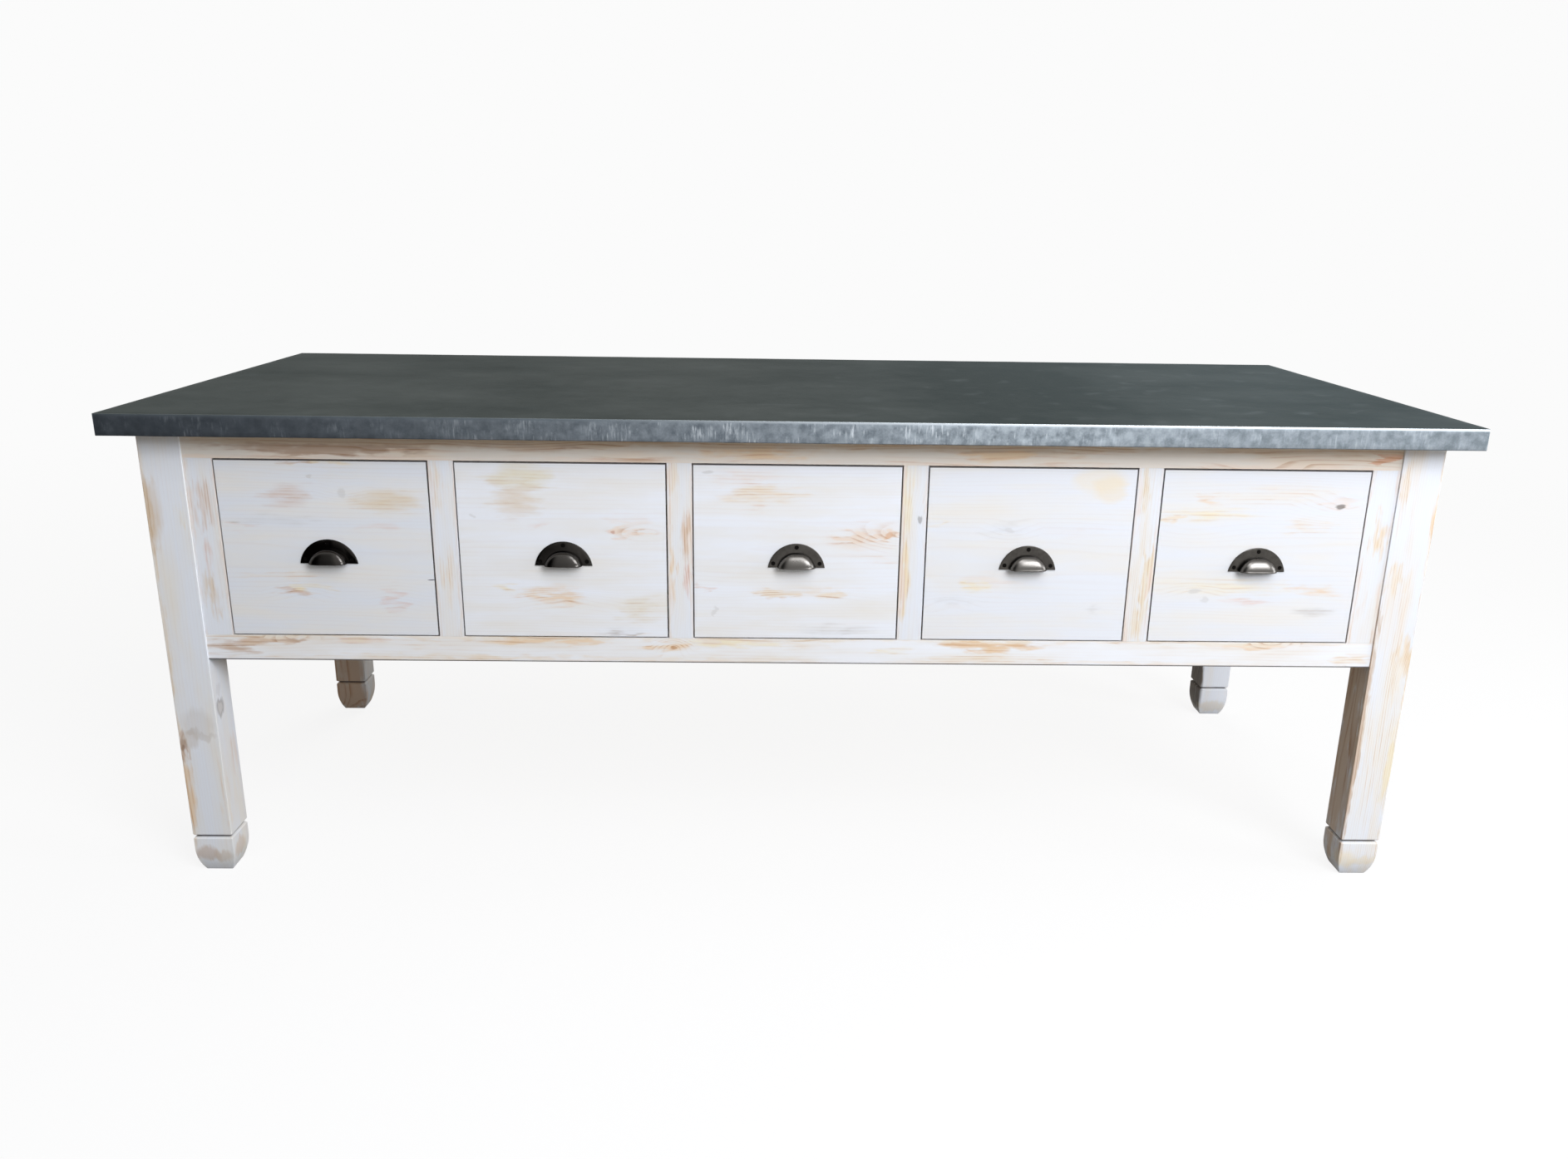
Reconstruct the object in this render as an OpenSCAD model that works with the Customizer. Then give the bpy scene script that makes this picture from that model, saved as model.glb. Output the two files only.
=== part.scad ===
// Kitchen island unit: a zinc-covered worktop on a pine table frame, with five deep drawers set
// flush in the front. All lengths are in millimetres. X runs along the island, Y from the
// drawer side to the back, and Z up. The origin is on the floor, under the worktop's middle.

/* [Drawer openings] */
// Width of one drawer opening
opening_w = 378; // [300:1:460]
// Height of the drawer openings
opening_h = 328; // [240:1:400]
// Gap all round a drawer front
front_gap = 2; // [1:0.5:4]

/* [Frame boards] */
// Width of the upright beside each leg
end_stile_w = 51; // [40:1:80]
// Width of the upright between two openings
mid_stile_w = 45; // [36:1:70]
// Height of the rail over the openings
top_rail_h = 46; // [40:1:80]
// Height of the rail under the openings
bottom_rail_h = 48; // [40:1:90]
// Thickness of the rails and uprights
frame_t = 25; // [20:1:34]
// How far the boards lie behind the faces of the legs
frame_setback = 3; // [1:1:8]
// Depth of the base over its legs, front to back
base_d = 934; // [900:2:1200]
// Height of the bottom rails above the floor
floor_clearance = 440; // [300:5:520]

/* [Joinery] */
// Thickness of tenons, panels and their grooves
tenon_t = 10; // [8:1:12]
// Length of the rails' tenons in the legs
rail_tenon_l = 25; // [15:1:32]
// Length of the front uprights' tenons in the rails
stile_tenon_l = 15; // [8:1:22]
// Shoulder left on each side of a front upright's tenon
tenon_shoulder = 8; // [4:1:12]
// Depth of the grooves that hold the back and side panels
panel_groove_d = 10; // [6:1:14]
// Room left for a panel to swell at each of its edges
panel_room = 0.9; // [0.3:0.1:2]

/* [Legs] */
// Side of the square leg
leg_side = 75; // [65:1:100]
// Side of the foot's square where it stands on the floor
foot_side = 50; // [36:1:60]
// Height of the foot's curved part
foot_curve_h = 50; // [30:1:60]
// Height of the V groove's middle above the floor
leg_groove_z = 76; // [70:1:140]
// Height of the V groove at the leg's face
leg_groove_h = 8; // [4:1:12]
// Depth of the V groove
leg_groove_d = 7; // [3:1:10]

/* [Worktop] */
// Thickness of the worktop over its zinc
top_t = 38; // [28:1:60]
// How far the worktop runs past the legs on every side
overhang = 46; // [34:1:90]
// Thickness of the zinc sheet
zinc_t = 1; // [0.6:0.1:2]
// Width of the zinc turned in under the edge
zinc_lip = 15; // [8:1:30]
// How far the screws that hold the worktop down reach into it
top_screw_bite = 22; // [12:1:24]
// Depth of those screws' counterbores in the kickers
top_screw_bore_d = 18; // [8:1:30]
// How far those screws lie from the ends of the kickers
top_screw_inset = 90; // [40:5:200]

/* [Drawers] */
// How far a drawer pulls out
drawer_travel = 550; // [300:10:600]
// Length of the drawer sides behind the drawer's back
side_tail_l = 150; // [60:10:180]
// Thickness of a drawer front
front_t = 22; // [18:1:25]
// Thickness of a drawer's sides and back
side_t = 12; // [10:1:14]
// Thickness of a drawer's bottom
bottom_t = 6; // [4:1:9]
// Height of the drawer bottom above the lower edge of the sides
bottom_inset = 16; // [8:1:24]
// Depth of the grooves that hold the drawer bottom
bottom_groove_d = 6; // [3:1:8]
// How far a drawer side lies in from the edge of its front
side_step = 1; // [0.5:0.5:3]
// Depth of the housings that hold the drawer's back in its sides
back_housing_d = 5; // [3:1:7]
// Number of dovetails at the front of a drawer side
dovetail_count = 5; // [3:1:7]
// Thickness of the drawer front that hides the dovetails' ends
dovetail_lap = 7; // [5:1:10]
// Width of the cleat that stops the drawer
cleat_w = 60; // [40:2:120]
// Thickness of that cleat
cleat_t = 10; // [6:1:16]
// How far the cleat stands up behind the top rail
cleat_catch = 20; // [8:1:28]
// How far the cleat laps down over the drawer's back
cleat_lap = 45; // [30:1:80]

/* [Runners] */
// Width of the ledge under each drawer side
ledge_w = 15; // [13:1:24]
// Height of the runners
runner_h = 30; // [20:1:38]
// Height of the guides and stops on the runners
guide_h = 20; // [12:1:30]
// Length of the stop blocks
stop_l = 30; // [15:1:60]
// Play between a drawer side and its guide
side_play = 0.8; // [0.3:0.1:1.5]
// Play between a drawer side and its runner
runner_play = 0.3; // [0.1:0.1:0.8]
// Play where a drawer meets its stops
stop_play = 0.3; // [0.1:0.1:0.8]
// Room over the drawer sides
side_headroom = 2; // [1:0.5:5]

/* [Cup pulls] */
// Width of the pull's plate
pull_w = 104; // [98:1:112]
// Height of the pull's plate
pull_h = 45; // [43:1:52]
// Thickness of the plate
plate_t = 2.5; // [1.5:0.5:4]
// Width of the cup where it meets the plate's lower edge
cup_w = 70; // [60:1:74]
// Height of the cup
cup_h = 28; // [22:1:30]
// How far the cup stands out from the plate
cup_out = 24; // [18:1:28]
// Thickness of the cup's wall
cup_wall = 2.4; // [1.5:0.1:3.5]
// Distance between the two lower screws
pull_screw_span = 84.6; // [82:0.2:86]
// Height of the two lower screws above the plate's lower edge
pull_screw_rise = 8; // [6:0.5:10]
// Distance of the upper screw from the plate's top
pull_screw_drop = 7; // [5:0.5:8]
// Shank diameter of the pull's screws
pull_screw_d = 3.5; // [2.5:0.1:4]
// Length of the pull's screws
pull_screw_l = 18; // [12:1:19]
// How far the pull's middle lies below the middle of its opening
pull_fall = 3.5; // [0:0.5:40]

/* [Hidden] */
drawer_count = 5;
$fn = 64;
past = 1;                  // how far a cutting tool runs past the face that it cuts

whitewash = "#dfe0e3";
bare_pine = "#d9b98a";
birch_ply = "#cdb289";
zinc = "#6d767c";
pewter = "#4a4744";
dark_steel = "#2b2928";

// Heights, from the floor up
sill_z = floor_clearance + bottom_rail_h;
head_z = sill_z + opening_h;
leg_h = head_z + top_rail_h;

// Widths
pitch = opening_w + mid_stile_w;
inner_w = drawer_count * opening_w + (drawer_count - 1) * mid_stile_w + 2 * end_stile_w;
base_w = inner_w + 2 * leg_side;
top_w = base_w + 2 * overhang;
top_d = base_d + 2 * overhang;

// Depths, measured from the middle of the island
face_y = base_d / 2 - frame_setback;
frame_back_y = face_y - frame_t;
inner_d = base_d - 2 * leg_side;

// Joinery
tenon_y = (frame_t - tenon_t) / 2;                   // a tenon is in the middle of its board
rail_shoulder = max(tenon_shoulder, panel_groove_d); // a panel's groove cuts a tenon back
stub_l = tenon_y - 1.5;                              // stays clear of the stiles' mortises
stub_shoulder = 6;

// Drawers
front_w = opening_w - 2 * front_gap;
front_h = opening_h - 2 * front_gap;
front_back_y = -face_y + front_t;
box_w = front_w - 2 * side_step;
box_inner_w = box_w - 2 * side_t;
side_z = sill_z + runner_play;
side_h = opening_h - runner_play - side_headroom;
side_top_z = side_z + side_h;
back_rear_y = -frame_back_y + drawer_travel + stop_play;
side_rear_y = back_rear_y + side_tail_l;
bottom_z = side_z + bottom_inset;
back_z = bottom_z + bottom_t;
bottom_room = 0.5;
guide_lap = front_gap + side_step - side_play;
guide_front_y = max(-frame_back_y, front_back_y + stop_play);

// Dovetails
tail_l = front_t - dovetail_lap;
tail_pitch = side_h / dovetail_count;
tail_root_w = 0.6 * tail_pitch;
tail_flare = tail_l / 6;   // a dovetail spreads one part in six on each side

// Pull
pull_z = sill_z + opening_h / 2 - pull_fall - pull_h / 2;
plate_r = arc_radius(pull_w, pull_h);
plate_arris = 1;
cup_base_r = arc_radius(cup_w, cup_h);
cup_inset = (cup_w * cup_w / 4 - cup_out * cup_out) / (2 * cup_out);
cup_r = sqrt(cup_base_r * cup_base_r + cup_inset * cup_inset);

// Screws
screw_fit = 0.05;          // room round a screw in its pilot hole
plate_fit = 0.3;           // room round a screw in the pull's plate
pilot_extra = 0.5;         // how much deeper a pilot hole is than its screw
top_screw_d = 5;
top_screw_head_r = 5;
top_screw_head_h = 4;
top_screw_bore_r = 6;
top_screw_l = top_rail_h - top_screw_bore_d + top_screw_bite;
cleat_screw_d = 4;
cleat_screw_l = side_t + cleat_t - 3;
cleat_screw_inset = 14;    // from the cleat's ends

// Radius of the arc that stands h high over a chord of length w.
function arc_radius(w, h) = (w * w / 4 + h * h) / (2 * h);

// Middle of opening n, from 1, and of the upright between openings n and n + 1.
function opening_x(n) = (n - (drawer_count + 1) / 2) * pitch;
function stile_x(n) = (n - drawer_count / 2) * pitch;

// How far the foot's curve draws in at height z.
foot_r = arc_radius(2 * foot_curve_h, (leg_side - foot_side) / 2);
function foot_inset(z) = foot_r - sqrt(foot_r * foot_r - pow(foot_curve_h - z, 2));

// Copies its children to both ends of the island.
module both_ends() {
    children();
    mirror([1, 0, 0]) children();
}

// ------------------------------------------------------------------------------- screws

// A countersunk screw. Its head is flush with z = 0, and it points down.
module countersunk_screw(d, l) {
    head_r = 1.05 * d;
    head_h = head_r - d / 2;
    slot_w = 0.25 * head_r;
    slot_d = 0.4 * head_h;
    difference() {
        rotate_extrude()
            polygon([[0, 0], [head_r, 0], [d / 2, -head_h], [d / 2, d - l], [0.1 * d, -l], [0, -l]]);
        translate([-head_r, -slot_w / 2, -slot_d])
            cube([2 * head_r, slot_w, slot_d + past]);
    }
}

// The hole for such a screw, with room round it.
module countersunk_hole(d, l, room) {
    head_r = 1.05 * d + room;
    hole_r = d / 2 + room;
    rotate_extrude()
        polygon([
            [0, past], [head_r, past], [head_r, 0], [hole_r, hole_r - head_r],
            [hole_r, -l - pilot_extra], [0, -l - pilot_extra],
        ]);
}

// ------------------------------------------------------------------------------- legs

// One face of a leg as a flat outline, with its curved foot and V groove.
module leg_outline() {
    foot_steps = 10;
    edge = [
        for (i = [0 : foot_steps])
            let (z = foot_curve_h * i / foot_steps)
            [foot_inset(z), z],
        [0, leg_groove_z - leg_groove_h / 2],
        [leg_groove_d, leg_groove_z],
        [0, leg_groove_z + leg_groove_h / 2],
        [0, leg_h],
    ];
    far_edge = [for (i = [len(edge) - 1 : -1 : 0]) [leg_side - edge[i][0], edge[i][1]]];
    polygon(concat(edge, far_edge));
}

// The front left leg. Mortises take the rails' tenons, and a groove takes the side panel.
module leg() {
    color(whitewash)
    translate([-base_w / 2, -base_d / 2, 0])
    difference() {
        intersection() {
            translate([0, leg_side, 0]) rotate([90, 0, 0]) linear_extrude(leg_side) leg_outline();
            rotate([90, 0, 90]) linear_extrude(leg_side) leg_outline();
        }
        for (rail = [[floor_clearance, bottom_rail_h], [head_z, top_rail_h]]) {
            mortise_z = rail[0] + rail_shoulder;
            mortise_h = rail[1] - 2 * rail_shoulder;
            translate([leg_side - rail_tenon_l, frame_setback + tenon_y, mortise_z])
                cube([rail_tenon_l + past, tenon_t, mortise_h]);
            translate([frame_setback + tenon_y, leg_side - rail_tenon_l, mortise_z])
                cube([tenon_t, rail_tenon_l + past, mortise_h]);
        }
        translate([frame_setback + tenon_y, leg_side - panel_groove_d, sill_z - panel_groove_d])
            cube([tenon_t, panel_groove_d + past, opening_h + 2 * panel_groove_d]);
    }
}

module leg_front_left() leg();
module leg_front_right() mirror([1, 0, 0]) leg();
module leg_back_left() mirror([0, 1, 0]) leg();
module leg_back_right() mirror([1, 0, 0]) mirror([0, 1, 0]) leg();

// ------------------------------------------------------------------------------- frame boards

// A groove for a panel, of length l along X, that is cut into a board's edge at z = 0.
module panel_groove(l) {
    translate([-past, tenon_y, -panel_groove_d])
        cube([l + 2 * past, tenon_t, 2 * panel_groove_d]);
}

// A rail of length l along X from x = 0, with a tenon at each end. Its outer face is at y = 0.
// Where it holds a panel, groove_z is the height of the edge that is grooved.
module rail(l, h, groove_z = undef) {
    difference() {
        cube([l, frame_t, h]);
        if (groove_z != undef)
            translate([0, 0, groove_z]) panel_groove(l);
    }
    for (x = [-rail_tenon_l, l])
        translate([x, tenon_y, rail_shoulder])
            cube([rail_tenon_l, tenon_t, h - 2 * rail_shoulder]);
}

// Mortises in the inner edges of the front rails for the uprights' tenons, on z = 0.
module stile_mortises() {
    for (side = [-1, 1])
        translate([side * (inner_w - end_stile_w) / 2, 0, 0]) stile_mortise(end_stile_w);
    for (n = [1 : drawer_count - 1])
        translate([stile_x(n), 0, 0]) stile_mortise(mid_stile_w);
}

module stile_mortise(w) {
    translate([-w / 2 + tenon_shoulder, -face_y + tenon_y, -stile_tenon_l])
        cube([w - 2 * tenon_shoulder, tenon_t, 2 * stile_tenon_l]);
}

// The ends of the runners and kickers, on the inner face of the front rail. z is the underside
// of a bar that is h high.
module stub_tenons(z, h) {
    for (bar = bars())
        translate([bar[0] + stub_shoulder, -frame_back_y - stub_l, z + stub_shoulder])
            cube([bar[1] - bar[0] - 2 * stub_shoulder, 2 * stub_l, h - 2 * stub_shoulder]);
}

module front_top_rail() {
    color(whitewash)
    difference() {
        translate([-inner_w / 2, -face_y, head_z]) rail(inner_w, top_rail_h);
        translate([0, 0, head_z]) stile_mortises();
        stub_tenons(head_z, top_rail_h);
    }
}

module front_bottom_rail() {
    color(whitewash)
    difference() {
        translate([-inner_w / 2, -face_y, floor_clearance]) rail(inner_w, bottom_rail_h);
        translate([0, 0, sill_z]) stile_mortises();
        stub_tenons(sill_z - runner_h, runner_h);
    }
}

// An upright of the front frame, of width w, between x = 0 and x = w.
module front_stile(w) {
    translate([0, -face_y, sill_z]) cube([w, frame_t, opening_h]);
    translate([tenon_shoulder, -face_y + tenon_y, sill_z - stile_tenon_l])
        cube([w - 2 * tenon_shoulder, tenon_t, opening_h + 2 * stile_tenon_l]);
}

module front_end_stiles() {
    color(whitewash)
    both_ends()
        translate([-inner_w / 2, 0, 0]) front_stile(end_stile_w);
}

module front_mid_stiles() {
    color(whitewash)
    for (n = [1 : drawer_count - 1])
        translate([stile_x(n) - mid_stile_w / 2, 0, 0]) front_stile(mid_stile_w);
}

module back_top_rail() {
    color(whitewash)
    mirror([0, 1, 0])
    difference() {
        translate([-inner_w / 2, -face_y, head_z]) rail(inner_w, top_rail_h, 0);
        stub_tenons(head_z, top_rail_h);
    }
}

module back_bottom_rail() {
    color(whitewash)
    mirror([0, 1, 0])
    difference() {
        translate([-inner_w / 2, -face_y, floor_clearance])
            rail(inner_w, bottom_rail_h, bottom_rail_h);
        stub_tenons(sill_z - runner_h, runner_h);
    }
}

// An upright of the back frame from x = 0, grooved at the edges whose x are in grooved.
module back_stile(w, grooved) {
    left_cut = len(search(0, grooved)) > 0 ? panel_groove_d : 0;
    right_cut = len(search(w, grooved)) > 0 ? panel_groove_d : 0;
    difference() {
        union() {
            translate([0, -face_y, sill_z]) cube([w, frame_t, opening_h]);
            translate([left_cut, -face_y + tenon_y, sill_z - panel_groove_d])
                cube([w - left_cut - right_cut, tenon_t, opening_h + 2 * panel_groove_d]);
        }
        for (x = grooved)
            translate([x - panel_groove_d, -face_y + tenon_y, sill_z - past])
                cube([2 * panel_groove_d, tenon_t, opening_h + 2 * past]);
    }
}

module back_stiles() {
    color(whitewash)
    mirror([0, 1, 0]) {
        both_ends()
            translate([-inner_w / 2, 0, 0]) back_stile(end_stile_w, [end_stile_w]);
        for (n = [1 : drawer_count - 1])
            translate([stile_x(n) - mid_stile_w / 2, 0, 0])
                back_stile(mid_stile_w, [0, mid_stile_w]);
    }
}

// A panel of the size of an opening w wide, with its edges in the grooves, from x = 0.
module panel(w) {
    in_groove = panel_groove_d - panel_room;
    translate([-in_groove, tenon_y, sill_z - in_groove])
        cube([w + 2 * in_groove, tenon_t, opening_h + 2 * in_groove]);
}

module back_panels() {
    color(whitewash)
    mirror([0, 1, 0])
    for (n = [1 : drawer_count])
        translate([opening_x(n) - opening_w / 2, -face_y, 0]) panel(opening_w);
}

// Turns a board that runs along X with its face at y = 0 into one on the island's left side.
module on_left_side() {
    translate([-base_w / 2 + frame_setback, inner_d / 2, 0]) rotate([0, 0, -90]) children();
}

module left_top_rail() {
    color(whitewash)
    on_left_side() translate([0, 0, head_z]) rail(inner_d, top_rail_h, 0);
}

module left_bottom_rail() {
    color(whitewash)
    on_left_side() translate([0, 0, floor_clearance]) rail(inner_d, bottom_rail_h, bottom_rail_h);
}

module left_panel() {
    color(whitewash)
    on_left_side() panel(inner_d);
}

module right_top_rail() mirror([1, 0, 0]) left_top_rail();
module right_bottom_rail() mirror([1, 0, 0]) left_bottom_rail();
module right_panel() mirror([1, 0, 0]) left_panel();

// ------------------------------------------------------------------------------- worktop

module worktop_core() {
    color(bare_pine)
    difference() {
        translate([-top_w / 2 + zinc_t, -top_d / 2 + zinc_t, leg_h])
            cube([top_w - 2 * zinc_t, top_d - 2 * zinc_t, top_t - zinc_t]);
        at_top_screws()
            cylinder(r = top_screw_d / 2 + screw_fit, h = 2 * (top_screw_bite + pilot_extra), center = true);
    }
}

// The sheet lies on the core, is folded down over its edges and turned in under them.
module worktop_zinc() {
    color(zinc)
    difference() {
        translate([-top_w / 2, -top_d / 2, leg_h - zinc_t])
            cube([top_w, top_d, top_t + zinc_t]);
        translate([-top_w / 2 + zinc_t, -top_d / 2 + zinc_t, leg_h])
            cube([top_w - 2 * zinc_t, top_d - 2 * zinc_t, top_t - zinc_t]);
        translate([-top_w / 2 + zinc_lip, -top_d / 2 + zinc_lip, leg_h - zinc_t - past])
            cube([top_w - 2 * zinc_lip, top_d - 2 * zinc_lip, zinc_t + 2 * past]);
    }
}

// Places its children at the underside of the worktop on each screw's axis.
module at_top_screws() {
    for (bar = bars())
        for (side = [-1, 1])
            translate([(bar[0] + bar[1]) / 2, side * (frame_back_y - top_screw_inset), leg_h])
                children();
}

module worktop_screws() {
    shank_r = top_screw_d / 2;
    color(dark_steel)
    at_top_screws()
    translate([0, 0, top_screw_bore_d - top_rail_h])
    rotate_extrude()
        polygon([
            [0, -top_screw_head_h], [top_screw_head_r, -top_screw_head_h], [top_screw_head_r, 0],
            [shank_r, 0], [shank_r, top_screw_l - top_screw_d], [0.2 * shank_r, top_screw_l],
            [0, top_screw_l],
        ]);
}

// ------------------------------------------------------------------------------- runners

// Left and right edges of the bars that run front to back beside the openings. Each reaches
// under the drawer sides by the width of a ledge.
function bars() = concat(
    [[-inner_w / 2, -inner_w / 2 + end_stile_w + ledge_w]],
    [for (n = [1 : drawer_count - 1]) [
        stile_x(n) - mid_stile_w / 2 - ledge_w,
        stile_x(n) + mid_stile_w / 2 + ledge_w
    ]],
    [[inner_w / 2 - end_stile_w - ledge_w, inner_w / 2]]
);

// Bars between the front and back frames, h high over z, with a stub tenon at each end.
module cross_bars(z, h) {
    for (bar = bars()) {
        translate([bar[0], -frame_back_y, z])
            cube([bar[1] - bar[0], 2 * frame_back_y, h]);
        translate([bar[0] + stub_shoulder, -frame_back_y - stub_l, z + stub_shoulder])
            cube([
                bar[1] - bar[0] - 2 * stub_shoulder,
                2 * (frame_back_y + stub_l),
                h - 2 * stub_shoulder
            ]);
    }
}

module drawer_runners() {
    color(bare_pine)
    cross_bars(sill_z - runner_h, runner_h);
}

// Kickers lie over the drawer sides, so that an open drawer can't tip. The worktop is screwed
// down through them.
module drawer_kickers() {
    color(bare_pine)
    difference() {
        cross_bars(head_z, top_rail_h);
        at_top_screws() {
            translate([0, 0, -top_rail_h - past])
                cylinder(r = top_screw_bore_r, h = top_screw_bore_d + past);
            translate([0, 0, -top_rail_h])
                cylinder(r = top_screw_d / 2 + screw_fit, h = top_rail_h + past);
        }
    }
}

// Strips on the runners that keep the drawers apart and straight.
module drawer_guides() {
    step = ledge_w - guide_lap;
    first = -inner_w / 2;
    color(bare_pine)
    for (bar = bars()) {
        left = bar[0] == first ? bar[0] : bar[0] + step;
        right = bar[1] == -first ? bar[1] : bar[1] - step;
        translate([left, guide_front_y, sill_z])
            cube([right - left, frame_back_y - guide_front_y, guide_h]);
    }
}

// Blocks on the ledges that the drawer sides meet when a drawer is shut.
module drawer_stops() {
    color(bare_pine)
    for (n = [1 : drawer_count])
        translate([opening_x(n), side_rear_y + stop_play, sill_z])
        both_ends()
            translate([-opening_w / 2 + guide_lap, 0, 0])
            cube([ledge_w - guide_lap, stop_l, guide_h]);
}

// ------------------------------------------------------------------------------- drawers

// The dovetails of a drawer side as a flat outline, with Y to the right and Z up.
module dovetails() {
    root = tail_root_w / 2;
    tip = root + tail_flare;
    for (i = [0 : dovetail_count - 1])
        translate([front_back_y, side_z + (i + 0.5) * tail_pitch])
        polygon([[0, -root], [0, root], [-tail_l, tip], [-tail_l, -tip]]);
}

module drawer_front() {
    groove_w = box_inner_w + 2 * bottom_groove_d;
    color(whitewash)
    difference() {
        translate([-front_w / 2, -face_y, sill_z + front_gap]) cube([front_w, front_t, front_h]);
        both_ends()
            translate([-front_w / 2 - past, 0, 0])
            rotate([90, 0, 90])
            linear_extrude(past + side_step + side_t)
            dovetails();
        translate([-groove_w / 2, front_back_y - bottom_groove_d, bottom_z])
            cube([groove_w, bottom_groove_d + past, bottom_t]);
        on_front() at_pull_screws() countersunk_hole(pull_screw_d, pull_screw_l, screw_fit);
    }
}

module drawer_sides() {
    color(bare_pine)
    both_ends()
        translate([-box_w / 2, 0, 0])
        difference() {
            rotate([90, 0, 90])
                linear_extrude(side_t)
                union() {
                    translate([front_back_y, side_z]) square([side_rear_y - front_back_y, side_h]);
                    dovetails();
                }
            translate([side_t - bottom_groove_d, front_back_y - bottom_groove_d, bottom_z])
                cube([bottom_groove_d + past, side_rear_y - front_back_y + 2 * bottom_groove_d, bottom_t]);
            translate([side_t - back_housing_d, back_rear_y - side_t, back_z])
                cube([back_housing_d + past, side_t, side_h]);
        }
}

module drawer_back() {
    back_w = box_inner_w + 2 * back_housing_d;
    color(bare_pine)
    difference() {
        translate([-back_w / 2, back_rear_y - side_t, back_z])
            cube([back_w, side_t, side_top_z - back_z]);
        at_cleat_screws() countersunk_hole(cleat_screw_d, cleat_screw_l, screw_fit);
    }
}

// The bottom slides into its grooves from the rear and ends under the drawer's back.
module drawer_bottom() {
    in_groove = bottom_groove_d - bottom_room;
    bottom_w = box_inner_w + 2 * in_groove;
    color(birch_ply)
    translate([-bottom_w / 2, front_back_y - in_groove, bottom_z])
        cube([bottom_w, back_rear_y - front_back_y + in_groove, bottom_t]);
}

// The cleat is screwed to the drawer's back once the drawer is in. It meets the top rail when
// the drawer is pulled out, and it passes between the kickers.
module drawer_cleat() {
    color(bare_pine)
    difference() {
        translate([-cleat_w / 2, back_rear_y, side_top_z - cleat_lap])
            cube([cleat_w, cleat_t, head_z + cleat_catch - side_top_z + cleat_lap]);
        at_cleat_screws() countersunk_hole(cleat_screw_d, cleat_screw_l, screw_fit);
    }
}

module at_cleat_screws() {
    for (side = [-1, 1])
        translate([
            side * (cleat_w / 2 - cleat_screw_inset),
            back_rear_y - side_t,
            side_top_z - cleat_lap / 2
        ])
        rotate([90, 0, 0])
        children();
}

// Places its children on a drawer's face, with Y up from the pull's lower edge and Z outwards.
module on_front() {
    translate([0, -face_y, pull_z]) rotate([90, 0, 0]) children();
}

// Places its children at the heads of the pull's three screws.
module at_pull_screws() {
    for (spot = [
        [-pull_screw_span / 2, pull_screw_rise],
        [pull_screw_span / 2, pull_screw_rise],
        [0, pull_h - pull_screw_drop],
    ])
        translate([spot[0], spot[1], plate_t]) children();
}

// A half-moon plate with a hollow cup on it, which is open below for the fingers.
module drawer_pull() {
    cup_z = plate_t - cup_inset;
    color(pewter)
    on_front()
    difference() {
        union() {
            translate([0, pull_h - plate_r, 0])
                rotate_extrude()
                polygon([
                    [0, 0], [plate_r, 0], [plate_r, plate_t - plate_arris],
                    [plate_r - plate_arris, plate_t], [0, plate_t],
                ]);
            translate([0, cup_h - cup_base_r, cup_z]) sphere(cup_r);
        }
        translate([0, cup_h - cup_base_r, cup_z]) sphere(cup_r - cup_wall);
        translate([-pull_w, -2 * pull_w, -2 * pull_w]) cube([2 * pull_w, 2 * pull_w, 4 * pull_w]);
        translate([-pull_w, -past, -2 * pull_w]) cube([2 * pull_w, 2 * pull_w, 2 * pull_w]);
        at_pull_screws() countersunk_hole(pull_screw_d, pull_screw_l, plate_fit);
    }
}

module drawer_screws() {
    color(dark_steel) {
        on_front() at_pull_screws() countersunk_screw(pull_screw_d, pull_screw_l);
        at_cleat_screws() countersunk_screw(cleat_screw_d, cleat_screw_l);
    }
}

// ------------------------------------------------------------------------------- the island

leg_front_left();
leg_front_right();
leg_back_left();
leg_back_right();

worktop_core();
worktop_zinc();
worktop_screws();

front_top_rail();
front_bottom_rail();
front_end_stiles();
front_mid_stiles();

back_top_rail();
back_bottom_rail();
back_stiles();
back_panels();

left_top_rail();
left_bottom_rail();
left_panel();
right_top_rail();
right_bottom_rail();
right_panel();

drawer_runners();
drawer_guides();
drawer_kickers();
drawer_stops();

for (n = [1 : drawer_count])
    translate([opening_x(n), 0, 0]) {
        drawer_front();
        drawer_sides();
        drawer_back();
        drawer_bottom();
        drawer_cleat();
        drawer_pull();
        drawer_screws();
    }
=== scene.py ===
# Kitchen island: a pine table frame, limed white and rubbed back, with five drawers and a worktop
# covered in dark patinated zinc. All places are in metres, in the same frame as the CAD model.
import math

import bpy
from mathutils import Matrix, Vector


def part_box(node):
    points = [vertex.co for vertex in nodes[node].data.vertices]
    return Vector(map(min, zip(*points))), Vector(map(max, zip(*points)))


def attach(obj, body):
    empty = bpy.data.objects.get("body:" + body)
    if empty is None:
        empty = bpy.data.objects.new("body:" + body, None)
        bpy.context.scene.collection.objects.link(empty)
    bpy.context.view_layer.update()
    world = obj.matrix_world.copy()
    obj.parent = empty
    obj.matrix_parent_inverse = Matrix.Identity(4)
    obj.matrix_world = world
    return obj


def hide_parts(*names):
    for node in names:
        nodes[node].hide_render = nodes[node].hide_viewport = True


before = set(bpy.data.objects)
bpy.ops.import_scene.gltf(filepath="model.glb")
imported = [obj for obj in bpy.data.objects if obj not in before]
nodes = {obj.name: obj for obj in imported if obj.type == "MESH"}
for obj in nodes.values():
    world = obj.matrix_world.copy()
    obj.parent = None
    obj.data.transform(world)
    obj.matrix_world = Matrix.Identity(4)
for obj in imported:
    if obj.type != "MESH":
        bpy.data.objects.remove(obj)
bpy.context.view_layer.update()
MM = 0.001

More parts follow.
